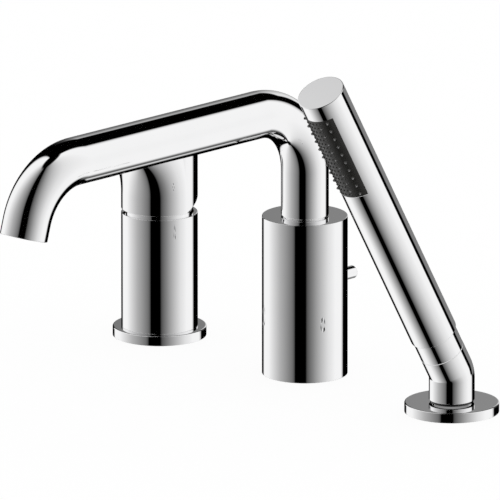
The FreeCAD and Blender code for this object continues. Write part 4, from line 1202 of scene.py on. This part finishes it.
@dataclass
class Holder(Unit):
    """Foot plate, swivel ring and elbow that hold the hand shower."""

    elbow: Pair = (14.5, 12.5)
    foot: float = 8.0
    rise: float = 13.59
    bend: float = 14.6
    lean: float = 30.0
    mouth_run: float = 14.49
    foot_split: float = 2.6
    foot_rounds: Four = (0.25, 0.0, 0.0, 0.1)
    elbow_rounds: Four = (0.0, 0.1, 0.1, 0.0)
    ring: Four = (6.3, 7.97, 13.8, 12.55)
    ring_rounds: Four = (0.3, 0.3, 0.0, 0.0)
    plate: Escutcheon = Escutcheon(low_bore=(20.15, 3.9), high_bore=12.55)

    def axis(self) -> Axis:
        """Return the elbow's centre line."""
        runs = ((self.rise, 0.0), (self.bend * math.radians(self.lean), self.bend), (self.mouth_run, 0.0))
        return Axis((SHOWER_X, 0.0, self.foot), UP, FORWARD, runs, 1.0)

    def build(self) -> None:
        """Build plate, ring and elbow; the elbow's foot is apart, so that the plate mirrors it."""
        station, axis, deck = upright(SHOWER_X), self.axis(), Body.DECK_SET
        ring = tube_outline(*self.ring, self.ring_rounds)
        foot = tube_outline(0.0, self.foot_split, *self.elbow, self.foot_rounds)
        elbow = tube_outline(self.foot_split, axis.length(), *self.elbow, self.elbow_rounds)
        self.turned("shower_foot_plate", self.plate.runs(), station, deck, "shower_escutcheon")
        self.turned("holder_foot_ring", ring, station, deck, "holder_slide_ring", Slot.BLACK_PLASTIC)
        self.turned("holder_elbow_foot", foot, axis, Body.HOLDER, "shower_elbow", in_mirrors=True)
        self.turned("holder_elbow", elbow, axis, Body.HOLDER, "shower_elbow")


@dataclass(frozen=True)
class Bump:
    """A small round bump on the spray plate.

    Fields: radius at its base and at its tip, how far it stands out, rounding of its tip, number of
    faces round it, how deep its foot is sunk in the plate, and how its base flares.
    """

    base: float
    tip: float
    stand: float
    edge: float
    facets: int
    sunk: float = 0.4
    flare: float = 0.1

    def runs(self, surface: float) -> list[Run]:
        """Return its outline, for a plate whose surface lies at this radius."""
        foot, rim = surface - self.sunk, surface + self.stand
        return open_outline(
            (foot, 0.0),
            (foot, self.base),
            (surface, self.base, self.flare),
            (rim, self.tip, self.edge),
            (rim, 0.0),
            steps=2,
        )


@dataclass(frozen=True)
class Row:
    """A straight row of nozzles or studs: its turn about the stick in degrees, its count and its pitch."""

    turn: float
    count: int
    pitch: float = 6.5


@dataclass(frozen=True)
class SprayFace:
    """The spray plate in its window, and the soft nozzles that stand out of it.

    Every other row of nozzles is staggered by half a step, and small studs fill the gaps between them.
    """

    half_angle: float = 56.0
    low: float = 161.0
    high: float = 224.6
    outer: float = 15.3
    inner: float = 12.5
    gap: float = 0.08
    edge: float = 0.2
    columns: int = 64
    nozzles: tuple[Row, ...] = (Row(-39.0, 10), Row(-19.5, 9), Row(0.0, 10), Row(19.5, 9), Row(39.0, 10))
    studs: tuple[Row, ...] = (
        Row(-19.5, 10), Row(-9.75, 19, 3.25), Row(0.0, 9), Row(9.75, 19, 3.25), Row(19.5, 10),
    )
    collar: Bump = Bump(0.95, 0.74, 0.95, 0.15, 14)
    stud: Bump = Bump(0.85, 0.425, 0.8, 0.2, 10)
    tip: float = 0.56
    tip_sunk: float = 0.3
    tip_edge: float = 0.3
    jet: float = 0.2
    jet_edge: float = 0.05
    stand: float = 1.3

    def places(self, rows: Sequence[Row]) -> list[Pair]:
        """Return the turn and the distance along the stick of every place, each row centred in the window."""
        middle = (self.low + self.high) / 2.0
        return [
            (math.radians(row.turn), middle + (step - (row.count - 1) / 2.0) * row.pitch)
            for row in rows for step in range(row.count)
        ]

    def tip_runs(self) -> list[Run]:
        """Return the outline of a soft tip that stands out of its collar, with the jet's small hole."""
        foot, top = self.outer + self.collar.stand - self.tip_sunk, self.outer + self.stand
        return open_outline(
            (foot, 0.0),
            (foot, self.tip),
            (top, self.tip, self.tip_edge),
            (top, self.jet, self.jet_edge),
            (top - self.jet, self.jet),
            (top - self.jet, 0.0),
            steps=3,
        )


@dataclass(frozen=True)
class Collar:
    """The collar at the stick's foot: spigot, band and stepped bore. Places are along the stick's axis."""

    foot: float = 8.2
    step: float = 18.7
    bore_step: float = 24.0
    top: float = 33.5
    spigot: float = 10.15
    band: float = 14.4
    bores: Pair = (10.5, 7.65)
    spigot_edge: float = 0.4
    band_edges: Pair = (0.1, 0.25)

    def runs(self) -> list[Run]:
        """Return its outline, from the foot up the outside and down the bore."""
        wide, narrow = self.bores
        return outline(
            (self.foot, self.spigot, self.spigot_edge),
            (self.step, self.spigot),
            (self.step, self.band, self.band_edges[0]),
            (self.top, self.band, self.band_edges[1]),
            (self.top, wide),
            (self.bore_step, wide),
            (self.bore_step, narrow),
            (self.foot, narrow, self.spigot_edge),
        )


@dataclass
class HandShower(Unit):
    """Collar, stick and spray face of the hand shower."""

    facets: int = 144
    corner_height: float = 25.5
    lean: float = 30.0
    stick: Pair = (15.3, 13.5)
    foot_edge: float = 0.25
    end: float = 235.5
    end_edge: float = 0.45
    cap: float = 2.5
    back_columns: int = 96
    collar: Collar = Collar()
    face: SprayFace = SprayFace()

    def axis(self) -> Axis:
        """Return the stick's axis; its angles start on the side away from the spray face."""
        lean = math.radians(self.lean)
        heading = (0.0, -math.sin(lean), math.cos(lean))
        toward = (0.0, -math.cos(lean), -math.sin(lean))
        return Axis((SHOWER_X, 0.0, self.corner_height), heading, toward)

    def build(self) -> None:
        """Build the collar, the stick, the spray plate and the nozzles."""
        make, body = self.workshop.piece, Body.HAND_SHOWER
        tips = self.bump_sheets(self.face.tip_runs(), self.face.nozzles, self.face.collar.facets)
        self.turned("handset_collar", self.collar.runs(), self.axis(), body, "handset_hose_sleeve")
        make("handset_stick", self.stick_sheets(), body, "handset_body")
        make("spray_face_plate", self.plate_sheets(), body, "spray_plate", Slot.GREY_PLASTIC)
        make("spray_nozzles", tips, body, "spray_nozzle_mat", Slot.SILICONE)

    def stick_sheets(self) -> list[Sheet]:
        """Return the stick: a closed tube with a window for the spray plate."""
        outer, inner = self.stick
        low, high, foot, roof = self.face.low, self.face.high, self.collar.top, self.end - self.cap
        half = math.radians(self.face.half_angle)
        beside = np.linspace(half - HALF_TURN, HALF_TURN - half, self.back_columns + 1)
        window = np.linspace(HALF_TURN - half, HALF_TURN + half, self.face.columns + 1)
        whole = [
            *open_outline((high, outer), (self.end, outer, self.end_edge), (self.end, 0.0)),
            *open_outline((roof, 0.0), (roof, inner), (high, inner)),
            *open_outline((low, inner), (foot, inner), (foot, outer, self.foot_edge), (low, outer)),
        ]
        sides = [*open_outline((low, outer), (high, outer)), *open_outline((high, inner), (low, inner))]
        ends = [*open_outline((low, outer), (low, inner)), *open_outline((high, inner), (high, outer))]
        axis = self.axis()
        return [
            *shell(whole, axis, np.concatenate((beside, window[1:]))),
            *shell(sides, axis, beside),
            *shell(ends, axis, window),
            cut_side(axis, (low, high), self.stick, float(window[0]), 1.0),
            cut_side(axis, (low, high), self.stick, float(window[-1]), -1.0),
        ]

    def plate_sheets(self) -> list[Sheet]:
        """Return the spray plate: a curved slab that fills the window, with collars and studs on it."""
        face, axis = self.face, self.axis()
        half = math.radians(face.half_angle) - face.gap / face.outer
        angles = np.linspace(HALF_TURN - half, HALF_TURN + half, face.columns + 1)
        ends, radii = (face.low + face.gap, face.high - face.gap), (face.outer, face.inner)
        return [
            *shell(tube_outline(*ends, *radii, (face.edge, face.edge, 0.0, 0.0)), axis, angles),
            cut_side(axis, ends, radii, float(angles[0]), -1.0),
            cut_side(axis, ends, radii, float(angles[-1]), 1.0),
            *self.bump_sheets(face.collar.runs(face.outer), face.nozzles, face.collar.facets),
            *self.bump_sheets(face.stud.runs(face.outer), face.studs, face.stud.facets),
        ]

    def bump_sheets(self, runs: Sequence[Run], rows: Sequence[Row], facets: int) -> list[Sheet]:
        """Return one small round form at each place of some rows, about an axis out from the stick's."""
        sheets: list[Sheet] = []
        for turn, along in self.face.places(rows):
            centre, ahead, crossways, level = (line[0] for line in self.axis().frames(np.array((along,))))
            angle = HALF_TURN + turn
            radial = math.cos(angle) * crossways + math.sin(angle) * level
            sheets += shell(runs, Axis(tuple(centre), tuple(radial), tuple(ahead)), all_round(facets))
        return sheets


# Everything that keeps its CAD shape


@dataclass
class PlainNodes:
    """Dresses the CAD nodes that stay: fixings under the deck, seals, cartridge and valve parts."""

    finishes: Finishes
    record: dict

    def dress(self, nodes: dict[str, bpy.types.Object]) -> None:
        """Give every CAD node the finish its record names, and keep it out of mirrors."""
        slots = {part["node"]: Slot(part["material_slot"]) for part in self.record["subparts"]}
        for name, thing in nodes.items():
            self.finishes.dress(thing, slots[name])
            thing.visible_glossy = False
        LOG.info("%d CAD nodes dressed", len(nodes))


# Studio


@dataclass(frozen=True)
class Panel:
    """A lit panel of the studio, which only mirrors see.

    Fields: greys, pairs of a bearing from the camera's and the grey, 0 to 255, that a mirror shows
    there; heights, where it starts, is full, is still full and ends. Both are in degrees.
    """

    greys: tuple[Pair, ...]
    heights: Four
    gamma: float = 2.2
    chrome: float = 0.9

    def light(self, sketch: Sketch, bearing: Socket, height: Socket) -> Socket:
        """Return its light along a bearing and a height, both as shares of -180 to 180 degrees."""
        across = [(where, (grey / 255.0) ** self.gamma / self.chrome) for where, grey in self.greys]
        upward = zip(self.heights, (0.0, 1.0, 1.0, 0.0))
        ramps = (
            sketch.ramp(share, [((where + 180.0) / 360.0, (level, level, level)) for where, level in stops])
            for share, stops in ((bearing, across), (height, upward))
        )
        return sketch.math("MULTIPLY", *ramps)


@dataclass
class Studio:
    """World, floor and camera.

    The camera sees white. Polished surfaces see the studio: one wide screen, broken by a black flag
    beside the camera and by a low dark edge on its right, and behind the faucet a bright panel over
    a grey strip, with three lower panels for the undersides of the bar and the bends. All else gets
    plain soft light.
    """

    bearing: float = 45.0
    tilt: float = 15.0
    lens: float = 1700.0
    half_field: float = 158.9
    aim: Pair = (-34.81, 77.65)
    clip: Pair = (1.0, 100.0)
    floor_reach: float = 4.0
    floor_glow: float = 0.92
    floor_noise: Pair = (30.0, 3.0)
    floor_shade: float = 0.97
    screen: Panel = Panel((
        (-180, 0), (-148.5, 0), (-147, 150), (-145, 220), (-142, 238), (-138, 246),
        (-114, 243), (-70, 174), (-34, 110), (-28.5, 80), (-26.5, 0), (2.6, 0),
        (6.4, 80), (22, 129), (66, 222), (90, 243), (114, 244), (121, 200),
        (125, 0), (144, 0),
    ), (-85.0, -83.0, 75.0, 78.0))
    dark_edge: Panel = Panel(((111, 0), (113, 255), (180, 255)), (-12.5, -11.5, -3.5, -2.5))
    panels: tuple[Panel, ...] = (
        Panel((
            (-180, 120), (-174, 60), (-168, 0), (149, 0), (152, 222), (160, 225),
            (172, 185), (176, 170), (180, 125),
        ), (-3.5, -2.5, 28.0, 31.0)),
        Panel((
            (-180, 120), (-174, 60), (-168, 0), (128, 0), (130, 125), (180, 125),
        ), (-12.5, -11.5, -3.5, -2.5)),
        Panel(((-180, 0), (137, 0), (140, 210), (165, 215), (170, 0)), (-52.0, -50.0, -45.6, -44.4)),
        Panel(((-180, 0), (150, 0), (154, 225), (172, 225), (177, 0)), (-84.0, -81.0, -52.0, -50.0)),
        Panel(((121, 0), (125, 115), (134, 90), (137, 60), (140, 0)), (-70.0, -60.0, -42.0, -40.0)),
    )

    def directions(self) -> tuple[Vector, Vector, Vector]:
        """Return the camera's backward, rightward and upward directions."""
        turn, rise = math.radians(self.bearing), math.radians(self.tilt)
        back = Vector((math.sin(turn) * math.cos(rise), -math.cos(turn) * math.cos(rise), math.sin(rise)))
        right = Vector((math.cos(turn), math.sin(turn), 0.0))
        return back, right, back.cross(right)

    def place_camera(self) -> None:
        """Set the camera: it looks at a point right and up of the origin in its own view."""
        back, right, up = self.directions()
        data = bpy.data.cameras.new("camera")
        data.lens = self.lens
        data.clip_start, data.clip_end = self.clip
        distance = self.half_field * MM / (data.sensor_width / 2.0 / self.lens)
        camera = bpy.data.objects.new("camera", data)
        target = (right * self.aim[0] + up * self.aim[1]) * MM
        turn = Matrix((right, up, back)).transposed().to_4x4()
        camera.matrix_world = Matrix.Translation(target + back * distance) @ turn
        bpy.context.scene.collection.objects.link(camera)
        bpy.context.scene.camera = camera
        LOG.info("camera %.3f m away", distance)

    def place_floor(self) -> None:
        """Lay a white floor that keeps a faint shadow: most of it glows, and only for the camera."""
        mesh = bpy.data.meshes.new("studio_floor")
        reach = self.floor_reach
        corners = [(x * reach, y * reach, 0.0) for x, y in ((-1, -1), (1, -1), (1, 1), (-1, 1))]
        mesh.from_pydata(corners, [], [(0, 1, 2, 3)])
        floor = bpy.data.objects.new("studio_floor", mesh)
        bpy.context.scene.collection.objects.link(floor)
        sketch = Sketch(bpy.data.materials.new("white_floor"))
        white = sketch.tones(sketch.noise(*self.floor_noise), (1.0, 1.0, 1.0), self.floor_shade)
        diffuse = sketch.node("BsdfDiffuse", Color=white).outputs["BSDF"]
        seen = sketch.node("LightPath").outputs["Is Camera Ray"]
        glow = sketch.node("Emission", Strength=seen).outputs["Emission"]
        mix = sketch.node("MixShader", self.floor_glow, diffuse, glow)
        sketch.node("OutputMaterial", Surface=mix.outputs["Shader"])
        mesh.materials.append(sketch.owner)
        floor.visible_glossy = False

    def light(self) -> None:
        """Make the world: white to the camera, the studio to mirrors, plain soft light to the rest."""
        world = bpy.data.worlds.new("studio")
        bpy.context.scene.world = world
        sketch = Sketch(world)
        ray = sketch.node("SeparateXYZ", sketch.node("TexCoord").outputs["Generated"]).outputs
        bearing = sketch.math("DEGREES", sketch.math("ARCTAN2", ray["Y"], ray["X"]))
        bearing = sketch.math("WRAP", sketch.math("ADD", bearing, self.bearing), 180.0, -180.0)
        height = sketch.math("DEGREES", sketch.math("ARCSINE", ray["Z"]))
        shares = [
            sketch.math("DIVIDE", sketch.math("ADD", angle, 180.0), 360.0)
            for angle in (bearing, height)
        ]

        edge = sketch.math("MINIMUM", self.dark_edge.light(sketch, *shares), 1.0)
        kept = sketch.math("SUBTRACT", 1.0, edge)
        studio = sketch.math("MULTIPLY", self.screen.light(sketch, *shares), kept)
        for panel in self.panels:
            studio = sketch.math("ADD", studio, panel.light(sketch, *shares))

        glossy = sketch.node("LightPath").outputs["Is Glossy Ray"]
        plain = sketch.math("SUBTRACT", 1.0, glossy)
        strength = sketch.math("ADD", sketch.math("MULTIPLY", studio, glossy), plain)
        backdrop = sketch.node("Background", Color=(1.0, 1.0, 1.0, 1.0), Strength=strength)
        sketch.node("OutputWorld", Surface=backdrop.outputs["Background"])

    def build(self) -> None:
        """Set up camera, floor and light, with colours shown as they are."""
        bpy.context.scene.view_settings.view_transform = "Standard"
        self.place_camera()
        self.place_floor()
        self.light()


def main() -> None:
    """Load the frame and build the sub-assemblies in order."""
    logging.basicConfig(level=logging.INFO, format="%(name)s: %(message)s")
    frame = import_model()
    studio = Studio()
    studio.build()
    finishes = Finishes()
    finishes.prepare()
    PlainNodes(finishes, frame["record"]).dress(frame["nodes"])
    workshop = Workshop(finishes)
    for unit in (Mixer(workshop), SpoutUnit(workshop), Holder(workshop), HandShower(workshop)):
        unit.build()
        LOG.info("%s done", type(unit).__name__)


if __name__ == "__main__":
    main()
